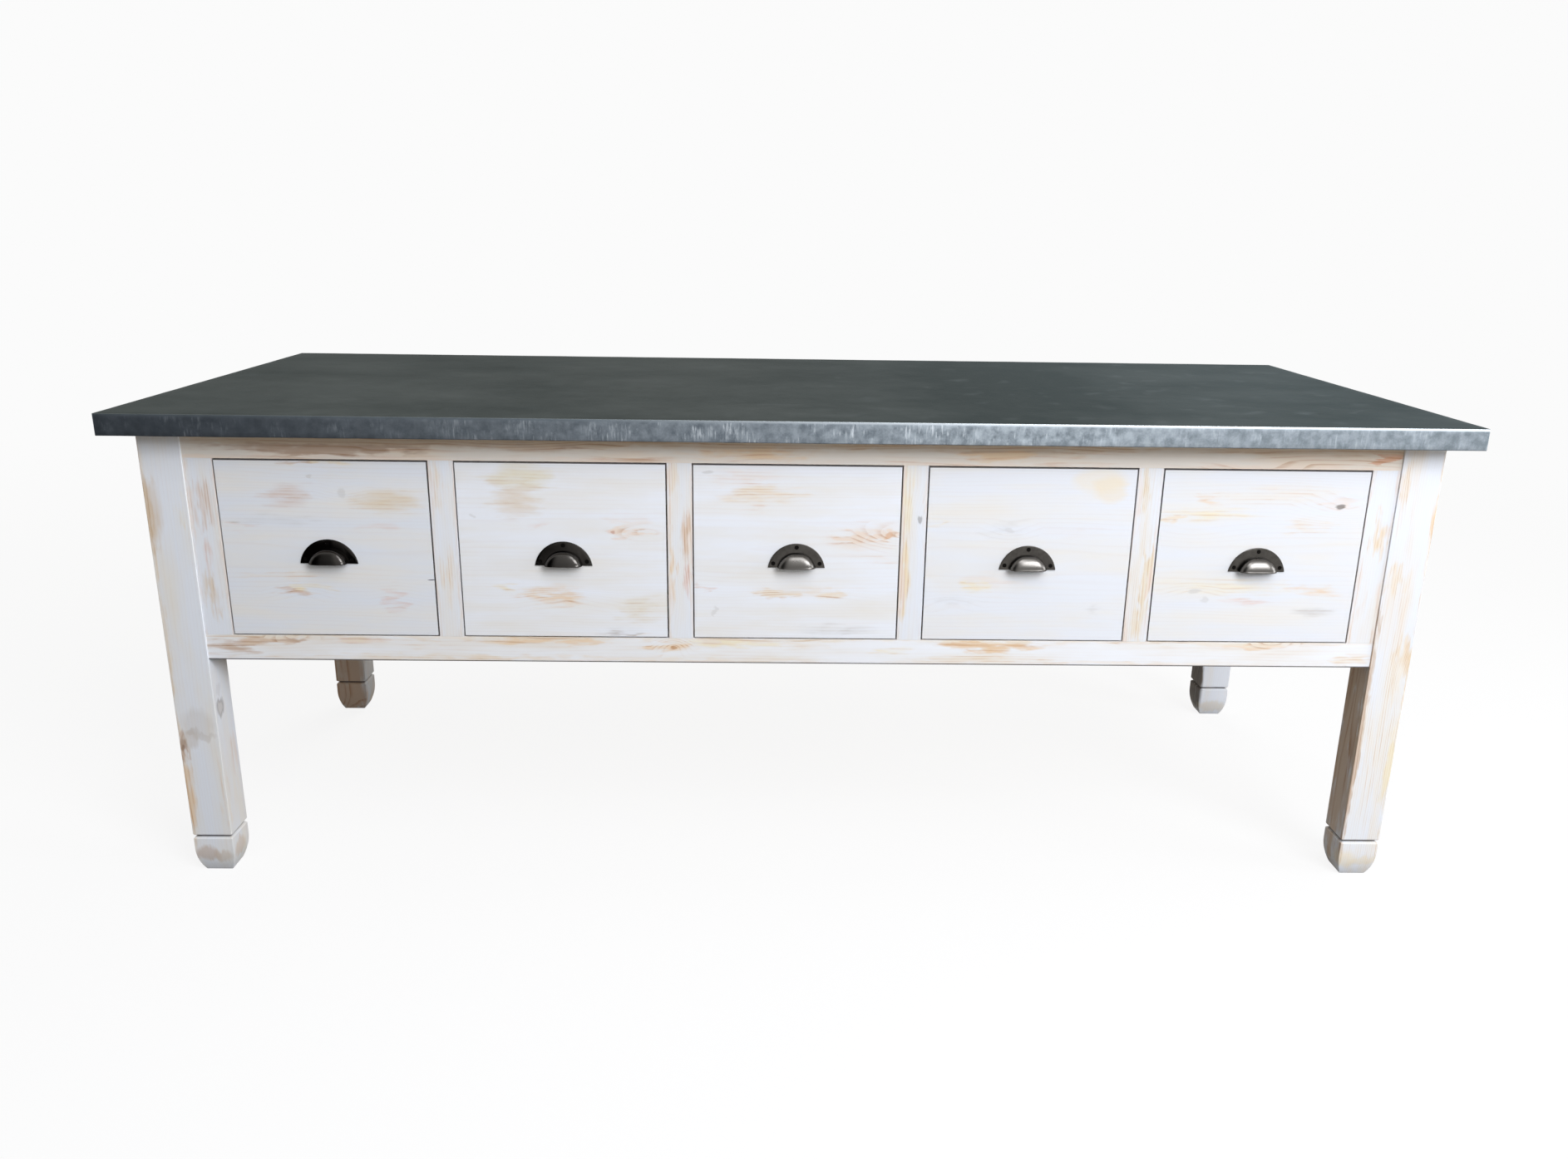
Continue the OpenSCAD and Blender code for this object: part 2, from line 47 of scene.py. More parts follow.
# ------ camera
# A phone's main camera, held at chest height a little left of the middle, 2.2 m in front of
# the drawers and looking down at them. Its slight shift follows the photograph's crop.
camera_place = (-0.0597, -2.6974, 1.2301)
camera_turn, camera_tilt, camera_roll = -0.02242, -0.31277, -0.0148
bpy.ops.object.camera_add()
camera = bpy.context.object
camera.matrix_world = (
    Matrix.Translation(camera_place)
    @ Matrix.Rotation(camera_turn, 4, "Z")
    @ Matrix.Rotation(math.pi / 2 + camera_tilt, 4, "X")
    @ Matrix.Rotation(-camera_roll, 4, "Z")
)
camera.data.lens = 29.055
camera.data.sensor_width = 36
camera.data.shift_x = -0.0039
camera.data.shift_y = 0.0316
bpy.context.scene.camera = camera
bpy.context.scene.view_settings.view_transform = "Standard"


# ------ studio
# A plain pale room: a large soft lamp at the front right, as a window would stand, weaker ones
# overhead, at the right and behind, and a dim even light. White is only seen or reflected.
def srgb(code):
    """A hex colour as linear red, green, blue and alpha."""
    parts = [int(code[i : i + 2], 16) / 255 for i in (1, 3, 5)]
    linear = [((c + 0.055) / 1.055) ** 2.4 if c > 0.04045 else c / 12.92 for c in parts]
    return (*linear, 1.0)


def feed(tree, node, inputs):
    """Sets a node's inputs, by name or number, to a value, a hex colour, a node or an output."""
    for key, value in inputs.items():
        if isinstance(key, str):
            socket = next(s for s in node.inputs if s.name == key and s.enabled)
        else:
            socket = node.inputs[key]
        if isinstance(value, str):
            value = srgb(value)
        if isinstance(value, bpy.types.Node):
            value = next(s for s in value.outputs if s.enabled)
        if isinstance(value, bpy.types.NodeSocket):
            tree.links.new(value, socket)
        else:
            socket.default_value = value


def add(tree, kind, inputs=None, **settings):
    """Adds a node with its settings and its inputs."""
    node = tree.nodes.new("ShaderNode" + kind)
    for name, value in settings.items():
        setattr(node, name, value)
    feed(tree, node, inputs or {})
    return node


SMOOTH = {"interpolation_type": "SMOOTHSTEP"}


def seen_or_reflected(tree):
    """1 for the camera and for what metal reflects, and 0 for light that falls on the object."""
    path = add(tree, "LightPath").outputs
    seen = add(
        tree, "Math", {0: path["Is Camera Ray"], 1: path["Is Glossy Ray"]}, operation="MAXIMUM"
    )
    return add(tree, "Math", {0: seen, 1: path["Is Transmission Ray"]}, operation="MAXIMUM")


def dark_corner(tree, vector):
    """1 for glossy rays towards the front left, where metal reflects the room's unlit corner."""
    direction = add(tree, "VectorMath", {0: vector}, operation="NORMALIZE")
    split = add(tree, "SeparateXYZ", {0: direction}).outputs
    left = add(
        tree, "MapRange", {"Value": split[0], "From Min": -0.05, "From Max": -0.45}, **SMOOTH
    )
    front = add(
        tree, "MapRange", {"Value": split[1], "From Min": -0.2, "From Max": -0.6}, **SMOOTH
    )
    corner = add(tree, "Math", {0: left, 1: front}, operation="MULTIPLY")
    glossy = add(tree, "LightPath").outputs["Is Glossy Ray"]
    return add(tree, "Math", {0: corner, 1: glossy}, operation="MULTIPLY")


backdrop_white = "#fbfbfb"
corner_grey = "#1d1c1c"
ambient_light = 0.34

world = bpy.data.worlds.new("studio")
bpy.context.scene.world = world
world.use_nodes = True
tree = world.node_tree
tree.nodes.clear()
ambient = add(tree, "Background", {"Color": "#fffdfa", "Strength": ambient_light})
direction = add(tree, "TexCoord").outputs["Generated"]
walls = add(
    tree, "Mix", {"Factor": dark_corner(tree, direction), "A": backdrop_white, "B": corner_grey},
    data_type="RGBA",
)
backdrop = add(tree, "Background", {"Color": walls.outputs[2], "Strength": 1.0})
room = add(tree, "MixShader", {0: seen_or_reflected(tree), 1: ambient, 2: backdrop})
add(tree, "OutputWorld", {"Surface": room})

bpy.ops.mesh.primitive_plane_add(size=40)
floor = bpy.context.object
floor.name = "floor"
floor_material = bpy.data.materials.new("pale_floor")
floor_material.use_nodes = True
tree = floor_material.node_tree
tree.nodes.clear()
matt_floor = add(tree, "BsdfDiffuse", {"Color": "#8c8c8a"})
shadow_catch = add(tree, "BsdfDiffuse", {"Color": "#646464"})
glow = add(tree, "Emission", {"Color": backdrop_white, "Strength": 0.90})
near_floor = add(tree, "AddShader", {0: shadow_catch, 1: glow})
far_floor = add(tree, "Emission", {"Color": backdrop_white, "Strength": 1.0})
dark_floor = add(tree, "Emission", {"Color": corner_grey, "Strength": 1.0})
place = add(tree, "TexCoord").outputs["Object"]
distance = add(tree, "VectorMath", {0: place}, operation="LENGTH").outputs["Value"]
far = add(tree, "MapRange", {"Value": distance, "From Min": 1.5, "From Max": 6.0}, **SMOOTH)
white_floor = add(tree, "MixShader", {0: far, 1: near_floor, 2: far_floor})
beyond = add(tree, "MapRange", {"Value": distance, "From Min": 1.0, "From Max": 2.0})
beyond = add(tree, "Math", {0: beyond, 1: dark_corner(tree, place)}, operation="MULTIPLY")
white_floor = add(tree, "MixShader", {0: beyond, 1: white_floor, 2: dark_floor})
floor_look = add(tree, "MixShader", {0: seen_or_reflected(tree), 1: matt_floor, 2: white_floor})
add(tree, "OutputMaterial", {"Surface": floor_look})
floor.data.materials.append(floor_material)


def soft_lamp(name, place, aim, size, power, colour):
    """A square area lamp at place that faces aim."""
    bpy.ops.object.light_add(type="AREA", location=place)
    lamp = bpy.context.object
    lamp.name = name
    lamp.rotation_euler = (Vector(aim) - Vector(place)).to_track_quat("-Z", "Y").to_euler()
    lamp.data.size = size
    lamp.data.energy = power
    lamp.data.color = srgb(colour)[:3]
    return lamp


daylight = "#f6f9ff"
warm_light = "#fffdf8"
soft_lamp("window_lamp", (2.1, -3.7, 3.0), (0.1, -0.3, 0.7), 2.2, power=166, colour=daylight)
soft_lamp("side_lamp", (4.0, -1.35, 1.25), (-1.0, -0.4, 0.4), 1.4, power=50, colour=daylight)
soft_lamp("ceiling_lamp", (0.35, -2.2, 3.3), (0.0, -0.45, 0.6), 1.2, power=20, colour=daylight)
back_lamp = soft_lamp("back_lamp", (0.6, 4.6, 3.0), (0, 0.3, 0.5), 3.0, power=85, colour=warm_light)
back_lamp.visible_glossy = False


# ------ legs
# Four square legs of solid pine, 75 mm thick, each with a V groove and a foot that curves in
# below it. The wood is brushed, limed with thin white paint and rubbed back with paper.
def soften(piece, arris, clamp=True):
    """Merges a CAD node's loose triangles and rounds its arrises."""
    merge = piece.modifiers.new("merge", "WELD")
    merge.merge_threshold = 0.01 * MM
    flats = piece.modifiers.new("flats", "DECIMATE")
    flats.decimate_type = "DISSOLVE"
    flats.angle_limit = math.radians(0.5)
    rounding = piece.modifiers.new("rounding", "BEVEL")
    rounding.width = arris
    rounding.segments = 2
    rounding.limit_method = "ANGLE"
    rounding.angle_limit = math.radians(30)
    rounding.use_clamp_overlap = clamp
    shading = piece.modifiers.new("shading", "WEIGHTED_NORMAL")
    shading.keep_sharp = False


def paint(piece, material):
    """Gives a CAD node its finish."""
    for place in piece.material_slots:
        place.material = material


# Colours of the wood where the paint is rubbed thin
HONEY = "#ecdcc6"
STRAW = "#f0e2c0"
ORANGE = "#ebcda8"
PEACH = "#ecd8c6"
ROSE = "#e4c6b9"
BROWN = "#cdae92"
GREY = "#c0bcb8"


def new_material(name):
    """A material, its node tree, its shader and the place on the object."""
    material = bpy.data.materials.new(name)
    material.use_nodes = True
    tree = material.node_tree
    return material, tree, tree.nodes["Principled BSDF"], add(tree, "TexCoord").outputs["Object"]


def soft_spot(tree, vector, centre, radii):
    """1 at the centre, falling to 0 at the radii along x, y and z, all in mm."""
    inside = add(
        tree, "Mapping",
        {"Vector": vector, "Location": [c * MM for c in centre], "Scale": [r * MM for r in radii]},
        vector_type="TEXTURE",
    )
    return add(tree, "TexGradient", {"Vector": inside}, gradient_type="SPHERICAL")


def drawn_out(grain, across, along):
    """A pattern's scale across and along the grain, in mm, as a scale along x, y and z."""
    scale = [across * MM] * 3
    scale["XYZ".index(grain)] = along * MM
    return scale


def grain_noise(tree, place, scale, shift=(0, 0, 0), **inputs):
    """Noise that is drawn out along the grain."""
    stretched = add(
        tree, "Mapping", {"Vector": place, "Location": shift, "Scale": scale}, vector_type="TEXTURE"
    )
    return add(tree, "TexNoise", {"Vector": stretched, "Scale": 1.0, **inputs})


def pine_figure(tree, place, grain, pith, ring, knots=()):
    """The year rings of a board: 0 in the pale early wood and up to 1 in the hard late wood.

    Rings lie round the pith, a line along the grain, a ring's width apart. A knot pushes them
    aside by a number of rings, which draws the pointed arches of a plain-sawn face.
    """
    stretch = [1.0, 1.0, 1.0]
    stretch["XYZ".index(grain)] = 9.0
    centred = add(
        tree, "Mapping", {"Vector": place, "Location": [c * MM for c in pith], "Scale": stretch},
        vector_type="TEXTURE",
    )
    push = 0.0
    for x, y, z, rx, ry, rz, rings in knots:
        hump = soft_spot(tree, place, (x, y, z), (rx, ry, rz))
        push = add(
            tree, "Math", {0: hump, 1: rings * 2 * math.pi, 2: push}, operation="MULTIPLY_ADD"
        )
    rings = add(
        tree, "TexWave",
        {
            "Vector": centred, "Scale": math.pi / 10 / (ring * MM), "Distortion": 14.0,
            "Detail": 2.0, "Detail Scale": 0.3, "Detail Roughness": 0.4, "Phase Offset": push,
        },
        wave_type="RINGS", rings_direction=grain, wave_profile="SAW",
    )
    rise = add(tree, "MapRange", {"Value": rings, "From Min": 0.5, "From Max": 0.92}, **SMOOTH)
    drop = add(tree, "MapRange", {"Value": rings, "From Min": 1.0, "From Max": 0.95})
    years = grain_noise(tree, place, drawn_out(grain, 5, 220), Detail=1.0)
    years = add(
        tree, "MapRange", {"Value": years, "From Min": 0.3, "From Max": 0.65, "To Min": 0.25}
    )
    late = add(tree, "Math", {0: rise, 1: drop}, operation="MULTIPLY")
    return add(tree, "Math", {0: late, 1: years}, operation="MULTIPLY")


def pine_fibre(tree, place, grain, length=60, width=1.2):
    """Short streaks along the grain, as wide as a few fibres, in mm."""
    return grain_noise(tree, place, drawn_out(grain, width, length), Detail=3.0, Roughness=0.6)


def limed_pine(
    name, grain, pith, ring, wear_and_shade=(), knots=(), spots_and_shade=(), general=0.0, bare=None, shade_lines=(),
    white="#e8ebf1",
):
    """Pine under thin white paint that is rubbed back in places.

    wear_and_shade: places where wood shows, as x, y, z, radii along x, y, z, strength and colour,
    in mm. Some on the top rail and the back legs are painted shade.
    knots: places that push the year rings aside. spots_and_shade: knots and stains in the form of
    wear_and_shade; one on the back right leg is painted shade.
    general: how much else is rubbed. bare: axis, place and side past which the wood is unpainted.
    shade_lines: dark lines of painted shade in gaps, in grooves and under an arris, as axis, place,
    half width and how far back along Y, in mm.
    white: the paint's colour. On the drawer fronts it also carries painted light, and on the top
    rail painted shade.
    """
    material, tree, shader, place = new_material(name)
    late = pine_figure(tree, place, grain, pith, ring, knots)
    fibre = pine_fibre(tree, place, grain)

    # The rubbed places have ragged outlines, drawn out along the grain.
    spread = drawn_out(grain, 9, 45)
    rough = grain_noise(tree, place, spread, Scale=0.8, Detail=3.0)
    centred = add(
        tree, "VectorMath", {0: rough.outputs["Color"], 1: (0.5, 0.5, 0.5)}, operation="SUBTRACT"
    )
    reach = [3.5 * c for c in spread]
    ragged = add(tree, "VectorMath", {0: centred, 1: reach, 2: place}, operation="MULTIPLY_ADD")

    # Elsewhere the paint is a little thin in long soft patches.
    patches = grain_noise(
        tree, place, drawn_out(grain, 45, 260), [0.37 * c * MM for c in pith],
        Detail=3.0, Roughness=0.55,
    )
    total = add(
        tree, "MapRange", {"Value": patches, "From Min": 0.42, "From Max": 0.75, "To Max": general}
    )
    wood = add(tree, "Mix", {"Factor": rough, "A": HONEY, "B": PEACH}, data_type="RGBA")
    for x, y, z, rx, ry, rz, strength, tone in wear_and_shade:
        fade = soft_spot(tree, ragged, (x, y, z), (rx, ry, rz))
        total = add(tree, "Math", {0: fade, 1: 1.4 * strength, 2: total}, operation="MULTIPLY_ADD")
        cover = add(tree, "Math", {0: fade, 1: 4.0}, operation="MULTIPLY", use_clamp=True)
        wood = add(tree, "Mix", {"Factor": cover, "A": wood, "B": tone}, data_type="RGBA")

    # Bands and fibres break up the rubbed places. A stain shows between the lines too.
    band = grain_noise(tree, place, drawn_out(grain, 7, 80), Detail=4.0, Roughness=0.6)
    band = add(
        tree, "MapRange",
        {"Value": band, "From Min": 0.3, "From Max": 0.65, "To Min": 0.25, "To Max": 1.25},
    )
    broken = add(tree, "Math", {0: fibre, 1: 1.0, 2: 0.5}, operation="MULTIPLY_ADD")
    broken = add(tree, "Math", {0: broken, 1: band}, operation="MULTIPLY")
    whole = total
    total = add(tree, "Math", {0: total, 1: broken}, operation="MULTIPLY")
    stained = add(tree, "Mix", {"Factor": 0.75, "A": total, "B": whole})
    if bare:
        axis, limit, side = bare
        split = add(tree, "SeparateXYZ", {0: place}).outputs["XYZ".index(axis)]
        past = "GREATER_THAN" if side > 0 else "LESS_THAN"
        inside = add(tree, "Math", {0: split, 1: limit}, operation=past)
        total = add(tree, "Math", {0: total, 1: inside}, operation="ADD")
        stained = add(tree, "Math", {0: stained, 1: inside}, operation="ADD")
    tint = add(tree, "MapRange", {"Value": stained, "From Max": 1.1, "To Max": 0.8}, **SMOOTH)
    lines = add(
        tree, "MapRange",
        {"Value": total, "From Min": 0.02, "From Max": 1.1, "To Min": 0.05, "To Max": 0.75},
        **SMOOTH,
    )
    lines = add(tree, "Math", {0: lines, 1: late}, operation="MULTIPLY")
    dark = add(
        tree, "Mix", {"Factor": 1.0, "A": wood, "B": "#d3b294"},
        data_type="RGBA", blend_type="MULTIPLY",
    )
    warm = add(tree, "MapRange", {"Value": patches, "From Min": 0.4, "From Max": 0.75})
    chalk = add(tree, "Mix", {"Factor": warm, "A": white, "B": "#ebe7e0"}, data_type="RGBA")
    thin = add(tree, "Mix", {"Factor": tint, "A": chalk, "B": wood}, data_type="RGBA")
    colour = add(tree, "Mix", {"Factor": lines, "A": thin, "B": dark}, data_type="RGBA")

    # Knots, stains and spots of painted shade lie over the paint, and lines of painted shade lie
    # over all.
    reach = [0.7 * c for c in spread]
    uneven = add(tree, "VectorMath", {0: centred, 1: reach, 2: place}, operation="MULTIPLY_ADD")
    for x, y, z, rx, ry, rz, strength, tone in spots_and_shade:
        core = soft_spot(tree, uneven, (x, y, z), (rx, ry, rz))
        core = add(tree, "Math", {0: core, 1: 2.5 * strength}, operation="MULTIPLY", use_clamp=True)
        core = add(tree, "Math", {0: core, 1: strength}, operation="MINIMUM")
        colour = add(tree, "Mix", {"Factor": core, "A": colour, "B": tone}, data_type="RGBA")
    for axis, middle, half, back in shade_lines:
        split = add(tree, "SeparateXYZ", {0: place}).outputs
        level = split["XYZ".index(axis)]
        near = add(tree, "Math", {0: level, 1: middle * MM}, operation="SUBTRACT")
        near = add(tree, "Math", {0: near}, operation="ABSOLUTE")
        line = add(
            tree, "MapRange",
            {"Value": near, "From Min": half * MM, "From Max": 0.5 * half * MM, "To Max": 0.92},
        )
        outside = add(tree, "Math", {0: split[1], 1: back * MM}, operation="LESS_THAN")
        line = add(tree, "Math", {0: line, 1: outside}, operation="MULTIPLY")
        colour = add(tree, "Mix", {"Factor": line, "A": colour, "B": "#3f3a37"}, data_type="RGBA")

    # Brushing leaves the late wood standing proud. Rubbed wood is smoother than the paint.
    matt = add(tree, "MapRange", {"Value": total, "To Min": 0.85, "To Max": 0.65})
    relief = add(tree, "Math", {0: fibre, 1: 0.5, 2: late}, operation="MULTIPLY_ADD")
    bump = add(tree, "Bump", {"Height": relief, "Strength": 0.15, "Distance": 0.3 * MM})
    feed(tree, shader, {
        "Base Color": colour, "Specular IOR Level": 0.25, "Roughness": matt, "Normal": bump,
    })
    return material


leg_wear_and_shade = {
    "leg_front_left": [
        (-1161, -467, 450, 9, 14, 2000, 0.6, HONEY),
        (-1152, -467, 722, 24, 14, 85, 0.7, "#d8bd9b"),
        (-1098, -467, 720, 12, 6, 50, 0.4, STRAW),
        (-1150, -467, 262, 15, 20, 34, 0.8, BROWN),
        (-1154, -467, 175, 12, 20, 75, 0.8, ORANGE),
        (-1091, -462, 150, 8, 12, 90, 0.6, HONEY),
        (-1086, -410, 230, 10, 30, 60, 0.35, PEACH),
    ],
    "leg_front_right": [
        (1161, -467, 450, 8, 14, 2000, 0.5, HONEY),
        (1096, -467, 790, 12, 14, 90, 0.7, HONEY),
        (1108, -467, 612, 30, 14, 30, 0.5, HONEY),
        (1160, -467, 735, 10, 20, 75, 0.5, ORANGE),
        (1150, -467, 442, 26, 14, 64, 0.9, "#e8cca2"),
        (1116, -467, 240, 70, 14, 280, 0.55, "#f0e7d8"),
        (1155, -467, 230, 10, 20, 90, 0.5, STRAW),
        (1083, -425, 330, 12, 80, 500, 1.3, "#cdb398"),
    ],
    # The brown on the back left leg's front face is partly rubbed wood, partly painted shade under
    # the carcass.
    "leg_back_left": [
        (-1123, 392, 26, 60, 30, 60, 1.2, BROWN),
        (-1123, 392, 130, 60, 20, 130, 0.7, BROWN),
    ],
    # The dark brown on the back right leg's inner face is painted shade.
    "leg_back_right": [(1080, 430, 60, 12, 90, 200, 2.4, "#7d705f")],
}
leg_pith = {
    "leg_front_left": (-1200, -440, 100),
    "leg_front_right": (975, -440, 900),
    "leg_back_left": (-1090, 520, 1700),
    "leg_back_right": (1200, 380, 2500),
}
leg_knots = {
    "leg_front_left": [(-1156, -467, 268, 16, 40, 24, 1.5)],
    "leg_front_right": [(1172, -467, 430, 44, 40, 100, 6.0)],
}
leg_spots_and_shade = {
    "leg_front_left": [
        (-1152, -467, 722, 24, 12, 66, 0.35, "#d6bc9a"),
        (-1122, -467, 312, 36, 12, 36, 0.3, "#c8bdb1"),
        (-1112, -467, 286, 24, 12, 10, 0.3, "#bbb0a6"),
        (-1134, -467, 296, 16, 12, 8, 0.3, "#bbb0a6"),
        (-1140, -467, 280, 20, 12, 24, 0.35, "#c3b3a3"),
        (-1154, -467, 268, 10, 12, 13, 0.5, "#a58872"),
        (-1155, -467, 262, 4, 12, 6, 0.5, "#8a6c58"),
        (-1086, -444, 374, 8, 14, 12, 0.2, "#b5b0ae"),
        (-1086, -444, 338, 8, 19, 22, 0.7, "#8f8987"),
        (-1086, -444, 338, 8, 13, 15, 1.0, "#cfccca"),
        (-1138, -458, 38, 30, 30, 18, 0.5, "#bfa288"),
        (-1108, -458, 34, 22, 30, 16, 0.4, "#cbb59b"),
        (-1090, -436, 42, 24, 30, 22, 0.45, "#cdb08e"),
        (-1094, -440, 36, 5, 8, 6, 0.5, "#9d8468"),
    ],
    "leg_front_right": [
        (1136, -458, 34, 34, 30, 13, 0.4, "#eddcba"),
        (1102, -458, 38, 26, 30, 26, 0.5, "#efe0c2"),
    ],
    "leg_back_right": [
        # This dark spot on the back right leg's inner face is painted shade.
        (1083, 425, 70, 14, 70, 150, 0.8, "#453d34"),
        (1123, 396, 24, 46, 30, 20, 0.4, "#d9c8ab"),
    ],
}
leg_ring = {"leg_front_right": 4.4}
leg_general = {"leg_front_left": 0.2, "leg_front_right": 0.7, "leg_back_left": 0.8}
# The dark line in each leg's V groove is painted shade.
groove_shade = ("Z", 77, 3.0, 1000)
for name in leg_wear_and_shade:
    soften(nodes[name], arris=1.5 * MM)
    paint(nodes[name], limed_pine(
        "limed_pine_" + name, "Z", leg_pith[name], leg_ring.get(name, 6.0), leg_wear_and_shade[name],
        leg_knots.get(name, ()), leg_spots_and_shade.get(name, ()), leg_general.get(name, 0.5),
        shade_lines=[groove_shade],
    ))

# ------ front frame
# Rails over and under the drawers and uprights between them, 25 mm pine boards, tenoned into
# the legs and into each other, limed as the legs are. Their inner sides are left bare.
front_y = -464
bare_inside = ("Y", -0.4394, 1)  # from just in front of the boards' back faces


def on_face(spots, depth=10):
    """Places on the front, given as x, z, radii along x and z and what follows, all in mm."""
    return [(x, front_y, z, rx, depth, rz, *more) for x, z, rx, rz, *more in spots]


top_rail_wear_and_shade = [
    # painted shade, deepest at the left, over rubbed wood
    (-860, 842, 250, 22, 1.1, "#bfa188"),
    (-480, 850, 180, 18, 0.5, "#cdb29b"),
    (-330, 852, 130, 14, 0.6, HONEY),
    (-90, 838, 150, 24, 0.9, ORANGE),
    (90, 850, 70, 14, 0.6, HONEY),
    (370, 840, 85, 20, 0.8, ORANGE),
    (560, 848, 100, 16, 0.7, PEACH),
    (800, 850, 90, 12, 0.4, HONEY),
    (1060, 842, 26, 18, 0.9, "#dda681"),
    # a band of painted shade under the worktop's overhang, over rubbed wood
    (0, 862, 4000, 24, 0.6, "#e0ccb5"),
    (0, 816, 4000, 7, 0.35, PEACH),
]
bottom_rail_worn = [
    (-1040, 464, 60, 20, 0.9, "#cdb199"),
    (-970, 478, 70, 12, 0.9, "#d9bb9d"),
    (-924, 481, 30, 8, 1.0, BROWN),
    (-810, 481, 60, 8, 0.7, PEACH),
    (-700, 470, 60, 10, 0.3, HONEY),
    (-490, 481, 70, 10, 0.8, ORANGE),
    (-405, 480, 45, 9, 0.8, ORANGE),
    (-228, 472, 34, 15, 0.7, ORANGE),
    (-110, 480, 110, 12, 0.9, STRAW),
    (20, 474, 60, 8, 0.4, HONEY),
    (180, 466, 50, 10, 0.6, STRAW),
    (355, 478, 110, 15, 1.4, "#e6c192"),
    (340, 452, 150, 9, 0.5, HONEY),
    (855, 481, 100, 8, 0.6, ORANGE),
    (1050, 456, 42, 14, 0.8, HONEY),
    (0, 488, 4000, 7, 0.5, HONEY),
    (-500, 445, 620, 9, 0.6, HONEY),
    (500, 443, 560, 8, 0.5, HONEY),
]
end_stile_worn = [
    (-1062, 738, 24, 60, 0.85, "#e0cfc3"),
    (-1064, 638, 12, 40, 0.5, ROSE),
    (-1064, 568, 20, 52, 0.85, "#dfcbb0"),
    (1066, 690, 20, 50, 1.0, "#ecd6b4"),
    (1050, 545, 14, 45, 0.4, PEACH),
]
end_stile_worn += [(x, 650, 8, 4000, 0.45, PEACH) for x in (-1086, -1035, 1035, 1086)]
mid_stile_worn = [
    (-641, 785, 18, 75, 0.6, HONEY),
    (-634, 612, 24, 60, 0.5, HONEY),
    (-222, 790, 14, 45, 0.6, HONEY),
    (-200, 690, 14, 60, 0.8, "#dcbfa4"),
    (-226, 600, 9, 95, 0.7, ORANGE),
    (-198, 605, 10, 50, 0.7, ROSE),
    (198, 755, 12, 70, 0.5, STRAW),
    (196, 600, 16, 85, 1.0, "#eed9b4"),
    (625, 768, 13, 58, 0.5, HONEY),
    (645, 612, 15, 60, 1.3, "#dfb183"),
    (638, 530, 18, 45, 0.6, PEACH),
    (634, 660, 34, 4000, 0.3, "#e9d9bd"),
]
mid_stile_worn += [
    (side * 22.5 + x, 650, 7, 4000, 0.35, PEACH)
    for x in (-634.5, -211.5, 211.5, 634.5) for side in (-1, 1)
]
front_boards = {
    # The top rail's warmer white is partly painted shade under the worktop's overhang.
    "front_top_rail": limed_pine(
        "limed_pine_front_top_rail", "X", (0, -560, 790), 3.6, on_face(top_rail_wear_and_shade),
        on_face([(-500, 866, 160, 30, 3.0), (830, 815, 110, 20, 1.5)], 30),
        general=1.1, bare=bare_inside, white="#e8e1d8",
    ),
    # The dark line along the bottom rail's lower arris is painted shade.
    "front_bottom_rail": limed_pine(
        "limed_pine_front_bottom_rail", "X", (700, -420, 500), 4.5, on_face(bottom_rail_worn),
        on_face([(-924, 488, 60, 16, 3.0), (-228, 472, 40, 26, 4.0), (895, 488, 60, 14, 3.0)], 30),
        on_face([(-226, 470, 7, 5, 0.6, "#b9814f")], 6),
        general=0.5, bare=bare_inside, shade_lines=[("Z", 440.3, 2.4, 0)], white="#f1f2f5",
    ),
    "front_end_stiles": limed_pine(
        "limed_pine_end_stiles", "Z", (300, -300, 300), 5.0, on_face(end_stile_worn),
        general=0.4, bare=bare_inside,
    ),
    "front_mid_stiles": limed_pine(
        "limed_pine_mid_stiles", "Z", (30, -340, 700), 4.5, on_face(mid_stile_worn),
        on_face([(-215, 560, 30, 70, 1.5), (222, 718, 26, 60, 2.5)], 30),
        on_face([(222, 719, 5.5, 8, 0.6, "#8d8a88")], 6),
        general=0.4, bare=bare_inside,
    ),
}
for name, material in front_boards.items():
    soften(nodes[name], arris=0.8 * MM)
    paint(nodes[name], material)

# ------ back and ends
# Rails, uprights and thin panels in grooves close the back and both ends. They are limed on
# the outside, and bare inside: each has its grain, its pith, and where the bare side starts.
outer_boards = {
    "back_top_rail": ("X", (400, 520, 900), ("Y", 0.4394, -1)),
    "back_bottom_rail": ("X", (900, 420, 380), ("Y", 0.4394, -1)),
    "back_stiles": ("Z", (200, 300, 500), ("Y", 0.4394, -1)),
    "back_panels": ("Z", (70, 420, 1300), ("Y", 0.4470, -1)),
    "left_top_rail": ("Y", (-1230, 400, 820), ("X", -1.1334, 1)),
    "left_bottom_rail": ("Y", (-1100, 900, 500), ("X", -1.1334, 1)),
    "left_panel": ("Y", (-1120, 1500, 640), ("X", -1.1410, 1)),
    "right_top_rail": ("Y", (1230, 2000, 860), ("X", 1.1334, -1)),
    "right_bottom_rail": ("Y", (1110, 2600, 430), ("X", 1.1334, -1)),
    "right_panel": ("Y", (1115, 3300, 680), ("X", 1.1410, -1)),
}
for name, (grain, pith, bare) in outer_boards.items():
    soften(nodes[name], arris=0.8 * MM)
    paint(nodes[name], limed_pine("limed_pine_" + name, grain, pith, 5.5, general=0.8, bare=bare))


